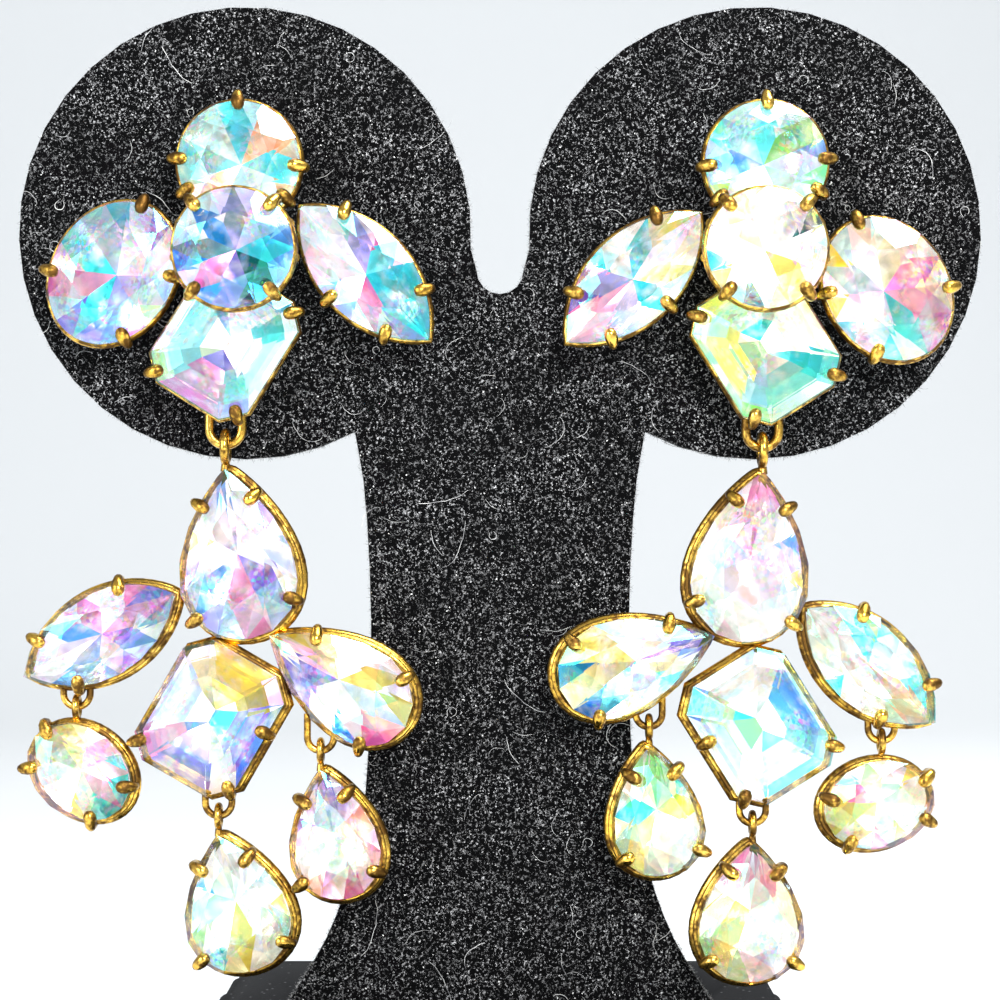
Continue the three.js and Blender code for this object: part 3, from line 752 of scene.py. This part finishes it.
def scatter_tree():
    """Copies of one small shape scattered over a surface, turned and scaled at random."""
    if "scattered_lint" in bpy.data.node_groups:
        return bpy.data.node_groups["scattered_lint"]
    tree = Tree(
        "scattered_lint", Shape="NodeSocketObject", Density="NodeSocketFloat",
        Seed="NodeSocketInt", Tilt="NodeSocketFloat", Smallest="NodeSocketFloat",
        Largest="NodeSocketFloat", Lift="NodeSocketFloat", Material="NodeSocketMaterial",
    )
    seed = tree.given("Seed")
    tilt = tree.given("Tilt")
    points = tree.add("GeometryNodeDistributePointsOnFaces", {}, {
        "Mesh": tree.given("Geometry"), "Density": tree.given("Density"), "Seed": seed,
    }, "Points")
    spread = points.node.outputs
    shape = tree.add("GeometryNodeObjectInfo", {}, {"Object": tree.given("Shape")}, "Geometry")
    least = tree.add("ShaderNodeMath", {"operation": "MULTIPLY"}, {0: tilt, 1: -1.0})
    lowest = tree.add("ShaderNodeCombineXYZ", {}, {"X": least, "Y": least, "Z": -math.pi})
    highest = tree.add("ShaderNodeCombineXYZ", {}, {"X": tilt, "Y": tilt, "Z": math.pi})
    spin = tree.add("FunctionNodeRandomValue", {"data_type": "FLOAT_VECTOR"}, {
        0: lowest, 1: highest, "Seed": seed,
    })
    size = tree.add("FunctionNodeRandomValue", {"data_type": "FLOAT"}, {
        2: tree.given("Smallest"), 3: tree.given("Largest"), "Seed": seed,
    }, 1)
    lift = tree.add("ShaderNodeVectorMath", {"operation": "SCALE"}, {
        0: spread["Normal"], "Scale": tree.given("Lift"),
    })
    raised = tree.add("GeometryNodeSetPosition", {}, {"Geometry": points, "Offset": lift})
    placed = tree.add("GeometryNodeInstanceOnPoints", {}, {
        "Points": raised, "Instance": shape, "Rotation": spread["Rotation"], "Scale": size,
    })
    turned = tree.add("GeometryNodeRotateInstances", {}, {
        "Instances": placed, "Rotation": spin, "Local Space": True,
    })
    return tree.close(turned)


# Stones


# Share of the width at the tips of a brilliant's lower facets, and share of the length beyond
# the width that half a step cut's keel takes
LOWER_SHARE = 0.46
KEEL_SHARE = 0.3


def facet_heights(stone, settings):
    """Heights of the girdle's upper edge, the table and the culet."""
    band = settings.girdle / 2
    crown = CROWN_SHARE * stone.wide
    depth = PAVILION_SHARE * stone.wide
    return band, band + crown, -depth


def brilliant_faces(stone, settings):
    """Facets of a round, oval, pear or marquise brilliant, as (points, is foiled)."""
    rim = stone.outline(settings.sides, settings.shrink)
    mains = settings.sides // 2
    band, top, culet = facet_heights(stone, settings)
    chord = math.cos(math.pi / mains)
    star_height = band + (1 - settings.star * chord) * (top - band) / (1 - settings.table)
    low_height = culet + LOWER_SHARE * chord * (-band - culet)

    def at(k, scale, height):
        point = rim[k % settings.sides]
        return Vector((point.x * scale, point.y * scale, height))

    table = [at(2 * i, settings.table, top) for i in range(mains)]
    star = [at(2 * i + 1, settings.star, star_height) for i in range(mains)]
    upper = [at(k, 1.0, band) for k in range(settings.sides)]
    lower = [at(k, 1.0, -band) for k in range(settings.sides)]
    deep = [at(2 * i + 1, LOWER_SHARE, low_height) for i in range(mains)]
    point = Vector((0, 0, culet))
    faces = [(table, False)]
    for i in range(mains):
        after = (i + 1) % mains
        here, middle, there = 2 * i, 2 * i + 1, (2 * i + 2) % settings.sides
        faces += [
            ([table[i], star[i], table[after]], False),
            ([table[i], star[i - 1], upper[here], star[i]], False),
            ([star[i], upper[here], upper[middle]], False),
            ([star[i], upper[middle], upper[there]], False),
            ([upper[here], lower[here], lower[middle], upper[middle]], False),
            ([upper[middle], lower[middle], lower[there], upper[there]], False),
            ([lower[here], deep[i - 1], point, deep[i]], True),
            ([lower[here], deep[i], lower[middle]], True),
            ([lower[middle], deep[i], lower[there]], True),
        ]
    return faces


def step_faces(stone, settings):
    """Facets of an octagon step cut, as (points, is foiled)."""
    rim = stone.outline(8, settings.shrink)
    band, top, culet = facet_heights(stone, settings)
    crown = [(settings.table, top), (0.79, band + 0.58 * (top - band)), (1.0, band), (1.0, -band)]
    pavilion = [(1.0, -band), (0.70, 0.48 * culet), (0.36, 0.80 * culet)]

    def ring(scale, height):
        return [Vector((p.x * scale, p.y * scale, height)) for p in rim]

    faces = [(ring(*crown[0]), False)]
    for foiled, steps in ((False, crown), (True, pavilion)):
        rings = [ring(*step) for step in steps]
        for above, below in zip(rings, rings[1:]):
            for i in range(8):
                after = (i + 1) % 8
                faces.append(([above[i], below[i], below[after], above[after]], foiled))
    keel = (stone.long - stone.wide) * KEEL_SHARE
    ends = [Vector((keel, 0, culet)), Vector((-keel, 0, culet))]
    last = ring(*pavilion[-1])
    for i in range(8):
        after = (i + 1) % 8
        tips = [ends[0] if last[k].x > 0 else ends[1] for k in (i, after)]
        corners = [last[i]] + ([tips[0]] if tips[0] == tips[1] else tips) + [last[after]]
        faces.append((corners, True))
    return faces


def fire_at(stone, place, rng):
    """A facet's colour: one of the stone's fires, sooner one that glows on that side of it."""
    across, up = place.x - stone.x, place.z - stone.z
    bearing = math.atan2(up, across)
    strength = FIRE_PULL * min(1.0, math.hypot(across, up) / (stone.wide * FIRE_EDGE))
    fires = [fire.split() for fire in FIRES[stone.node].split(", ")]
    weights = []
    for _, degrees, times in fires:
        facing = max(0.0, math.cos(bearing - math.radians(int(degrees))))
        weights.append(int(times) * (FIRE_FLOOR + strength * facing ** 3))
    return COLOURS[rng.choices([name for name, _, _ in fires], weights)[0]]


def build_stone(stone, settings, rng):
    """One cut stone: a clear table, a tinted crown and a foiled pavilion with painted fire, facet
    by facet.
    """
    make = step_faces if stone.cut == "octagon" else brilliant_faces
    bm = bmesh.new()
    tint = bm.loops.layers.float_color.new(FACET_FIRE_AND_TINT)
    place = stone.matrix()
    made = {}
    for order, (points, foiled) in enumerate(make(stone, settings)):
        corners = []
        for p in points:
            key = tuple(round(v / MM, 3) for v in p)
            if key not in made:
                made[key] = bm.verts.new(place @ p)
            corners.append(made[key])
        face = bm.faces.new(corners)
        face.material_index = 1 if foiled else 0
        # Each facet takes a fire's colour: painted fire on the foil, a fainter tint on the crown,
        # none on the table.
        fire = fire_at(stone, face.calc_center_median(), rng)
        depth, contrast, shade = settings.crown_tint, 1.0, 1.0
        if foiled:
            depth, contrast = rng.choice(FOIL_DEPTHS), FOIL_CONTRAST
            shade = rng.uniform(FOIL_DIMMEST, 1.0)
        elif order == 0:
            depth = 0.0
        base = [(1 - depth * (1 - v)) ** contrast for v in fire]
        for corner in face.loops:
            corner[tint] = (*(min(1.0, v * shade) for v in base), 1.0)
    mesh = mesh_from(stone.node, bm)
    return new_object(f"{stone.node}_cut", mesh, ("cut_glass", "iridescent_foil"))


def body_of_stone(side, name):
    """The body that a stone rides on."""
    return STAND if name in TOP_STONES else f"{side}_drop"


class EARRING_OT_stones(bpy.types.Operator):
    """Cuts every stone of both earrings"""

    bl_idname = "earring.stones"
    bl_label = "Cut the stones"

    def execute(self, context):
        settings = context.scene.earring_stones
        for side in SIDES:
            for name in STONES:
                rng = random.Random(f"{side} {name}")
                stone = Stone(side, name)
                piece = build_stone(stone, settings, rng)
                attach(piece, body_of_stone(side, name))
                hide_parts(stone.node)
        return {"FINISHED"}


# Settings: every wire is a path with a radius at each point

# A claw over the crown: shares of its reach, of half its width above the facets, and of its tip
CLAW_OVER = ((0.1, 1.0, 0.92), (0.5, 1.0, 1.0), (0.95, 0.9, 0.92), (1.35, 0.75, 0.62))

# The rail sits this share of the gallery's shift towards the middle
RAIL_SHIFT = 0.8
WIRE_SIDES = 10


def gallery_depths(settings):
    """Heights of the gallery wire and of the rail above it, in a stone's frame."""
    gallery = -(GIRDLE_HALF + BELOW_GIRDLE) - settings.wire / 2
    return gallery, gallery + (settings.wire + settings.rail) / 2


def ring_path(stone, height, inset, radius, shift):
    """A closed wire that follows the stone's outline. On the drops it sits a little inwards."""
    inwards = 0.0 if stone.name in TOP_STONES else math.copysign(shift, -stone.x)
    place = Matrix.Translation((inwards, 0, 0)) @ stone.matrix()
    rim = stone.outline(SMOOTH_SIDES, inset)
    return [place @ Vector((p.x, p.y, height)) for p in rim], [radius] * len(rim), True


def claw_path(stone, degrees, settings):
    """A claw from the gallery, past the girdle and over the crown to a rounded tip."""
    point, normal = rim_at(stone.outline(SMOOTH_SIDES), degrees)
    half = settings.claw / 2
    tip = settings.claw_tip / 2
    band = GIRDLE_HALF
    gallery, _ = gallery_depths(settings)
    slope = CROWN_SHARE * stone.wide / (CROWN_WIDTH * point.dot(normal))
    steps = [
        (-0.1 * MM, gallery - settings.wire * 0.45, half * 0.75),
        (half * 0.6, gallery, half * 0.85),
        (half * 0.85, -band, half * 0.85),
        (half * 0.85, band + 0.2 * MM, half * 0.9),
        (half * 0.5, band + 0.5 * MM, half * 1.1),
    ]
    for inwards, rise, width in (*CLAW_OVER, (1.5, 0.7, 0.12 * half / tip)):
        over = inwards * settings.claw_reach
        steps.append((-over, band + slope * over + half * rise, tip * width))
    place = stone.matrix()
    path = [
        place @ Vector((point.x + normal.x * out, point.y + normal.y * out, height))
        for out, height, _ in steps
    ]
    return path, [radius for _, _, radius in steps], False


def setting_paths(stone, settings):
    """Gallery, rail and claws of one stone."""
    gallery, rail = gallery_depths(settings)
    if stone.name in TOP_STONES:
        inset, wire = TOP_INSET, settings.wire
    else:
        inset, wire = DROP_INSET, settings.drop_wire
    paths = [
        ring_path(stone, gallery, inset, wire / 2, settings.shift),
        ring_path(stone, rail, RAIL_INSET, settings.rail / 2, settings.shift * RAIL_SHIFT),
    ]
    return paths + [claw_path(stone, degrees, settings) for degrees in stone.claws]


# What hangs: parent stone, bearing of the eye on the hung stone (or its tip), link sizes in mm
LINK = {
    "main": {"wire": 0.9, "width": 3.2, "eye": 2.8},
    "charm": {"wire": 0.7, "width": 2.6, "eye": 2.0},
}
HUNG = {
    "drop_pear": ("top_octagon", None, "main"),
    "bottom_charm": ("drop_octagon", None, "charm"),
    "oval_charm": ("drop_marquise", 94, "charm"),
    "pear_charm": ("side_pear", None, "charm"),
}
LINK_GAP = 0.3 * MM

# Solder between a rim and its eye: height in mm and share of the eye's thickness
NECK = ((-0.35, 1.15), (0.1, 1.05), (0.5, 0.9))
EYE_STEPS = 28
BEND_STEPS = 14


def link_of(name):
    """Half the thickness, half the width and the eye's radius of what carries a hung stone."""
    link = LINK[HUNG[name][2]]
    return [link[key] * MM / 2 for key in ("wire", "width", "eye")]


def pivot_of(side, name, settings):
    """Where a hung stone's eye and the loop that carries it meet, with the eye's middle."""
    stone = Stone(side, name)
    bearing = HUNG[name][1]
    thick, _, radius = link_of(name)
    if bearing is None:
        inner = 0.0
    else:
        world = 180 - bearing if side == "right" else bearing
        inner = world - math.degrees(stone.turn)
    point = stone.turned(rim_at(stone.outline(CAD_SIDES), inner)[0])
    seat = settings.eye_seat * settings.wire
    foot = Vector((stone.x + point.x, stone.y - gallery_depths(settings)[0], stone.z + point.y))
    middle = foot + Vector((0, 0, radius + seat))
    pivot = middle + Vector((0, 0, radius - 2 * thick - LINK_GAP))
    return pivot, middle, foot


def eye_paths(side, name, settings):
    """The eye, edge on to the front, with the solder that joins it to the rim below."""
    thick, _, radius = link_of(name)
    _, middle, foot = pivot_of(side, name, settings)
    ring = [middle + Vector((0, radius * s, radius * c)) for c, s in circle(EYE_STEPS)]
    neck = [foot + Vector((0, 0, rise * MM)) for rise, _ in NECK]
    return [
        (ring, [thick] * EYE_STEPS, True),
        (neck, [thick * width for _, width in NECK], False),
    ]


def lowest_at(rim, x):
    """Lowest height of a closed outline at a place across it."""
    heights = []
    for i, a in enumerate(rim):
        b = rim[(i + 1) % len(rim)]
        if (a.x - x) * (b.x - x) <= 0 and a.x != b.x:
            heights.append(a.y + (b.y - a.y) * (x - a.x) / (b.x - a.x))
    return min(heights)


def loop_path(side, name, settings):
    """The fixed U loop that carries a hung stone, in the plane of its parent's gallery."""
    thick, half, _ = link_of(name)
    pivot, _, _ = pivot_of(side, name, settings)
    rim = Stone(side, HUNG[name][0]).rim()
    ends = [lowest_at(rim, pivot.x + offset) + thick / 2 for offset in (-half, half)]
    bend = [
        pivot + Vector((half * math.cos(t), 0, half + half * math.sin(t)))
        for t in (math.pi + math.pi * i / BEND_STEPS for i in range(BEND_STEPS + 1))
    ]
    left = Vector((pivot.x - half, pivot.y, ends[0]))
    right = Vector((pivot.x + half, pivot.y, ends[1]))
    path = [left, *bend, right]
    return path, [thick] * len(path), False


def hub_paths(side, settings):
    """The hub's middle, arms to each gallery of the cluster and struts to the raised one."""
    centre = Stone(side, "centre_round")
    half = settings.wire / 2
    gallery_y = Stone(side, "crown_round").y - gallery_depths(settings)[0]
    hub = Vector((centre.x, centre.y + PAVILION_SHARE * centre.wide + HUB_BEHIND, centre.z))
    paths = []
    for name in TOP_STONES[1:]:
        stone = Stone(side, name)
        nearest = min(stone.rim(), key=lambda p: (p - Vector((hub.x, hub.z))).length)
        end = Vector((nearest.x, gallery_y, nearest.y))
        paths.append(([hub, hub.lerp(end, 0.5), end], [half * 1.2, half, half], False))
    for bearing in STRUT_BEARINGS:
        out = Vector((math.cos(math.radians(bearing)), 0, math.sin(math.radians(bearing))))
        foot = hub + out * STRUT_START
        rim_y = centre.y - gallery_depths(settings)[0]
        end = Vector((hub.x, rim_y, hub.z)) + out * (centre.wide / 2)
        paths.append(([foot, foot.lerp(end, 0.5), end], [half, half * 0.9, half], False))
    return hub, paths


def wire_piece(name, paths, body, replaced):
    """One plain mesh of metal from paths, each drawn as a round wire."""
    curve = bpy.data.curves.new(name, "CURVE")
    curve.dimensions = "3D"
    for points, radii, closed in paths:
        spline = curve.splines.new("POLY")
        spline.points.add(len(points) - 1)
        spline.use_cyclic_u = closed
        for target, point, radius in zip(spline.points, points, radii):
            target.co = (*point, 1.0)
            target.radius = radius
    obj = new_object(name, curve)
    apply_tree(obj, wire_tree(), Sides=WIRE_SIDES, Material=finish("antique_gold"))
    settle(obj, name, body, "metal", replaced)


class EARRING_OT_settings(bpy.types.Operator):
    """Bends the galleries, claws, loops and eyes of both earrings"""

    bl_idname = "earring.settings"
    bl_label = "Bend the settings"

    def execute(self, context):
        settings = context.scene.earring_metal
        for side in SIDES:
            drop = f"{side}_drop"
            _, top = hub_paths(side, settings)
            top.append(loop_path(side, "drop_pear", settings))
            lower = eye_paths(side, "drop_pear", settings)
            lower += [loop_path(side, name, settings) for name in CHARMS]
            pieces = [("top", top, TOP_STONES, STAND), ("drop", lower, DROP_STONES, drop)]
            pieces += [(name, eye_paths(side, name, settings), (name,), drop) for name in CHARMS]
            for name, paths, stones, body in pieces:
                for stone in stones:
                    paths += setting_paths(Stone(side, stone), settings)
                wire_piece(f"{side}_{name}_wires", paths, body, f"{side}_{name}_setting")
        return {"FINISHED"}


def lathe(profile, middle, sides=36):
    """A closed solid turned round an axis along Y, from (radius, y) steps."""
    bm = bmesh.new()
    rings = [
        [
            bm.verts.new((middle.x + radius * c, depth, middle.z + radius * s))
            for c, s in (circle(sides) if radius else ((0, 0),))
        ]
        for radius, depth in profile
    ]
    for first, second in zip(rings, rings[1:]):
        for i in range(sides):
            after = (i + 1) % sides
            corners = [first[i % len(first)], first[after % len(first)],
                       second[after % len(second)], second[i % len(second)]]
            bm.faces.new(list(dict.fromkeys(corners)))
    return mesh_from("turned", bm)


# Profiles as (radius, depth) in mm: the pad from its front, the clutch from its front, its back
# from the back of the post, and the hub from its middle
PAD = ((0, 0), (1.1, 0), (1.3, 0.15), (1.3, 0.75), (1.1, 0.9), (0.65, 0.95))
CLUTCH = ((0.65, 0), (2.1, 0), (2.5, 0.25), (2.5, 0.6), (2.2, 0.85), (2.2, 1.05), (2.5, 1.3))
CLUTCH_BACK = ((2.5, -0.5), (2.1, -0.15), (1.2, -0.1), (0.9, 0), (0, 0))
HUB = ((0, -0.6), (1.0, -0.6), (1.3, -0.36), (1.3, 0.36), (1.0, 0.6), (0, 0.6))
CLUTCH_LENGTH = 2.4 * MM


def steps_from(start, profile):
    """A profile in metres, with its depths measured from a place along Y."""
    return [(radius * MM, start + depth * MM) for radius, depth in profile]


class EARRING_OT_posts(bpy.types.Operator):
    """Turns the ear posts with their hubs, pads and clutches"""

    bl_idname = "earring.posts"
    bl_label = "Turn the posts"

    def execute(self, context):
        settings = context.scene.earring_metal
        for side in SIDES:
            low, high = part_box(f"{side}_ear_post")
            hub, _ = hub_paths(side, settings)
            profile = steps_from(low.y, PAD)
            profile += steps_from(high.y - CLUTCH_LENGTH, CLUTCH)
            profile += steps_from(high.y, CLUTCH_BACK)
            post = new_object(f"{side}_post_and_clutch", lathe(profile, hub), ("antique_gold",))
            round_edges(post, 0.08 * MM, 2, 25.0)
            settle(post, f"{side}_post", STAND, "metal", f"{side}_ear_post")
            disc = lathe(steps_from(hub.y, HUB), hub)
            disc = new_object(f"{side}_hub_blank", disc, ("antique_gold",))
            round_edges(disc, 0.1 * MM, 2, 25.0)
            settle(disc, f"{side}_hub", STAND, "metal")
        return {"FINISHED"}


# Stand

# Kinds of stray hair: share of a hair's length, and its bend in radians
SHORT_HAIRS = ((1.0, 1.2), (1.0, 2.6), (0.8, 4.6), (1.3, -3.4))
LONG_HAIR = (2.4, 3.0)
HAIR_STEPS = 16
HAIR_HALF = 0.028 * MM
HAIR_ARCH = 0.12 * MM


def small_shape(mesh):
    """A small shape that is only copied by a tree, and isn't shown itself."""
    return bpy.data.objects.new(mesh.name, mesh)


def strand_mesh(name, rings):
    """A strand from rings of three points each, closed at both ends."""
    bm = bmesh.new()
    rings = [[bm.verts.new(point) for point in ring] for ring in rings]
    for first, second in zip(rings, rings[1:]):
        for i in range(3):
            after = (i + 1) % 3
            bm.faces.new((first[i], first[after], second[after], second[i]))
    bm.faces.new(rings[0][::-1])
    bm.faces.new(rings[-1])
    return mesh_from(name, bm)


def fibre_mesh(tall):
    """A short tapered fibre that stands on a surface and leans a little."""
    path = (Vector((0, 0, 0)), Vector((0.06 * MM, 0, tall * 0.55)), Vector((0.16 * MM, 0, tall)))
    radii = (0.02 * MM, 0.016 * MM, 0.006 * MM)
    return strand_mesh("fibre", [
        [point + Vector((radius * c, radius * s, 0)) for c, s in circle(3)]
        for point, radius in zip(path, radii)
    ])


def hair_mesh(name, size, bend, rng):
    """A stray hair that lies along a surface in a loose curve."""
    step = size / HAIR_STEPS
    heading = rng.uniform(-0.4, 0.4)
    point = Vector((0, 0, 0))
    path = []
    for i in range(HAIR_STEPS + 1):
        path.append(point.copy())
        heading += bend / HAIR_STEPS * (1.4 - 0.8 * i / HAIR_STEPS) + rng.uniform(-0.3, 0.3)
        point += Vector((math.cos(heading) * step, math.sin(heading) * step, 0))
    middle = sum(path, Vector((0, 0, 0))) / len(path)
    rings = []
    for i, point in enumerate(path):
        ahead = path[min(i + 1, HAIR_STEPS)] - path[max(i - 1, 0)]
        across = Vector((-ahead.y, ahead.x, 0)).normalized()
        taper = HAIR_HALF * (0.5 + 0.5 * math.sin(math.pi * (i + 0.5) / (HAIR_STEPS + 1)))
        arch = HAIR_ARCH * math.sin(math.pi * i / HAIR_STEPS)
        rings.append([
            point - middle + across * taper * c + Vector((0, 0, arch + taper * s))
            for c, s in ((1, 0), (-0.5, 0.87), (-0.5, -0.87))
        ])
    return strand_mesh(name, rings)


def speck_mesh(size):
    """A small tuft of lint."""
    bm = bmesh.new()
    bmesh.ops.create_icosphere(bm, subdivisions=1, radius=size / 2)
    for vert in bm.verts:
        vert.co *= 1 + 0.5 * noise.noise(vert.co / size * 3)
        vert.co.z *= 0.5
        vert.co.x *= 1.5
    return mesh_from("speck", bm, recalculate=False)


def scatter(name, over, shape, wanted, material, seed, tilt, scales, lift=0.0, rim_only=False):
    """Copies of a shape over a piece, or over its rim, as one plain mesh on the stand."""
    ground = new_object(f"{name}_ground", over.data.copy())
    ground.data.materials.clear()
    if rim_only:
        bm = bmesh.new()
        bm.from_mesh(ground.data)
        flat = [face for face in bm.faces if abs(face.normal.y) > 0.8]
        bmesh.ops.delete(bm, geom=flat, context="FACES")
        bm.to_mesh(ground.data)
        bm.free()
    area = sum(face.area for face in ground.data.polygons)
    apply_tree(
        ground, scatter_tree(), Shape=shape, Density=wanted / area, Seed=seed, Tilt=tilt,
        Smallest=scales[0], Largest=scales[1], Lift=lift, Material=finish(material),
    )
    settle(ground, name, STAND, "flock")


class EARRING_OT_upright(bpy.types.Operator):
    """Covers the upright with black flock, loose fibres, lint and stray hairs"""

    bl_idname = "earring.upright"
    bl_label = "Flock the upright"

    def execute(self, context):
        settings = context.scene.earring_stand
        board = merged_copy("stand_panel", "upright", "black_flock")
        round_edges(board, settings.flock_edge, 4)
        upright = settle(board, "flocked_upright", STAND, "flock", "stand_panel")
        rng = random.Random(7)
        fibre = small_shape(fibre_mesh(settings.fibre))
        scatter("loose_fibres", upright, fibre, settings.fibres, "dark_fibre",
                seed=3, tilt=0.9, scales=(0.35, 1.0))
        scatter("rim_fuzz", upright, fibre, settings.rim_fuzz, "rim_fibre",
                seed=5, tilt=1.1, scales=(0.25, 0.7), rim_only=True)
        speck = small_shape(speck_mesh(settings.speck))
        scatter("lint_specks", upright, speck, settings.specks, "pale_lint",
                seed=11, tilt=0.4, scales=(0.3, 1.3), lift=0.03 * MM)
        short = settings.hairs // len(SHORT_HAIRS)
        kinds = [(reach, bend, short) for reach, bend in SHORT_HAIRS]
        kinds.append((*LONG_HAIR, settings.long_hairs))
        for i, (reach, bend, wanted) in enumerate(kinds):
            hair = small_shape(hair_mesh(f"hair_{i}", settings.hair * reach, bend, rng))
            scatter(f"stray_hairs_{i}", upright, hair, wanted, "pale_lint",
                    seed=21 + i, tilt=0.08, scales=(0.35, 1.35), lift=0.06 * MM)
        return {"FINISHED"}


class EARRING_OT_base(bpy.types.Operator):
    """Moulds the stepped base in glossy black"""

    bl_idname = "earring.base"
    bl_label = "Mould the base"

    def execute(self, context):
        settings = context.scene.earring_stand
        moulded = merged_copy("stand_base", "base_blank", "gloss_black")
        round_edges(moulded, settings.base_edge, 4, 50.0)
        settle(moulded, "stepped_base", STAND, "base_plastic", "stand_base")
        return {"FINISHED"}


# Stage, in metres: half the floor's width, its bend up into the backdrop and the backdrop's top
FLOOR_HALF = 4.0
FLOOR_BEND = 0.35
FLOOR_STEPS = 16
BACKDROP_TOP = 1.8

# Soft lights: place, size and tint
LIGHTS = {
    "key": ((0.10, -0.42, 0.24), 0.16, (1.0, 1.0, 1.0)),
    "fill": ((-0.38, -0.30, 0.16), 0.30, (0.94, 0.97, 1.0)),
    "top": ((0.16, -0.06, 0.42), 0.26, (1.0, 1.0, 1.0)),
}
ROOM_TINT = (0.93, 0.96, 1.0, 1.0)
ROOM_STRENGTH = 0.55


def area_light(name, place, aim, size, power, tint):
    """A square soft light that looks at a point."""
    light = bpy.data.lights.new(name, "AREA")
    light.size = size
    light.energy = power
    light.color = tint
    lamp = bpy.data.objects.new(name, light)
    lamp.location = place
    lamp.rotation_euler = (aim - place).to_track_quat("-Z", "Y").to_euler()
    lamp.visible_camera = False
    bpy.context.scene.collection.objects.link(lamp)


class EARRING_OT_stage(bpy.types.Operator):
    """Sets the pale floor, the soft lights and the camera"""

    bl_idname = "earring.stage"
    bl_label = "Set the stage"

    def execute(self, context):
        settings = context.scene.earring_stage
        bm = bmesh.new()
        sweep = [(-FLOOR_HALF, 0.0), (FLOOR_BEND, 0.0)]
        sweep += [
            (FLOOR_BEND * (1 + math.sin(t)), FLOOR_BEND * (1 - math.cos(t)))
            for t in (math.pi / 2 * i / FLOOR_STEPS for i in range(1, FLOOR_STEPS + 1))
        ]
        sweep.append((2 * FLOOR_BEND, BACKDROP_TOP))
        rows = [
            [bm.verts.new((x, y, z)) for x in (-FLOOR_HALF, FLOOR_HALF)] for y, z in sweep
        ]
        for first, second in zip(rows, rows[1:]):
            face = bm.faces.new((first[0], first[1], second[1], second[0]))
            face.smooth = True
        floor = mesh_from("floor", bm, recalculate=False)
        new_object("floor", floor, ("pale_floor",))

        aim = Vector((0, 0, settings.aim))
        for name, (place, size, tint) in LIGHTS.items():
            area_light(f"{name}_light", Vector(place), aim, size, getattr(settings, name), tint)
        world = bpy.data.worlds.new("soft_room")
        world.use_nodes = True
        room = world.node_tree.nodes["Background"]
        room.inputs["Color"].default_value = ROOM_TINT
        room.inputs["Strength"].default_value = ROOM_STRENGTH
        context.scene.world = world

        lens = bpy.data.cameras.new("camera")
        lens.sensor_width = 36.0
        lens.lens = lens.sensor_width * settings.distance / settings.field
        lens.clip_start = 0.005
        camera = bpy.data.objects.new("camera", lens)
        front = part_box("stand_panel")[0].y
        camera.location = (0, front - settings.distance, settings.aim)
        camera.rotation_euler = (math.pi / 2, 0, 0)
        context.scene.collection.objects.link(camera)
        context.scene.camera = camera
        context.scene.view_settings.view_transform = "Standard"
        return {"FINISHED"}


# Add-on

PIECES = (
    EARRING_OT_base, EARRING_OT_upright, EARRING_OT_posts, EARRING_OT_stones,
    EARRING_OT_settings, EARRING_OT_stage,
)


class EARRING_PT_panel(bpy.types.Panel):
    """Lists the operators in their order"""

    bl_label = "Chandelier earrings"
    bl_space_type = "VIEW_3D"
    bl_region_type = "UI"
    bl_category = "Earrings"

    def draw(self, context):
        for piece in PIECES:
            self.layout.operator(piece.bl_idname)
        for group in GROUPS:
            box = self.layout.box()
            values = getattr(context.scene, group)
            for key in values.__annotations__:
                box.prop(values, key)


GROUPS = {
    "earring_stones": StoneSettings,
    "earring_metal": MetalSettings,
    "earring_stand": StandSettings,
    "earring_stage": StageSettings,
}
CLASSES = (*GROUPS.values(), *PIECES, EARRING_PT_panel)


def register():
    for item in CLASSES:
        bpy.utils.register_class(item)
    for name, group in GROUPS.items():
        setattr(bpy.types.Scene, name, bpy.props.PointerProperty(type=group))


def unregister():
    for name in GROUPS:
        delattr(bpy.types.Scene, name)
    for item in reversed(CLASSES):
        bpy.utils.unregister_class(item)


def corners(box):
    """A box as plain lists."""
    return [[float(v) for v in corner] for corner in box]


def main():
    register()
    bpy.ops.earring.base()
    bpy.ops.earring.upright()
    bpy.ops.earring.posts()
    bpy.ops.earring.stones()
    bpy.ops.earring.settings()
    bpy.ops.earring.stage()


if __name__ == "__main__":
    main()
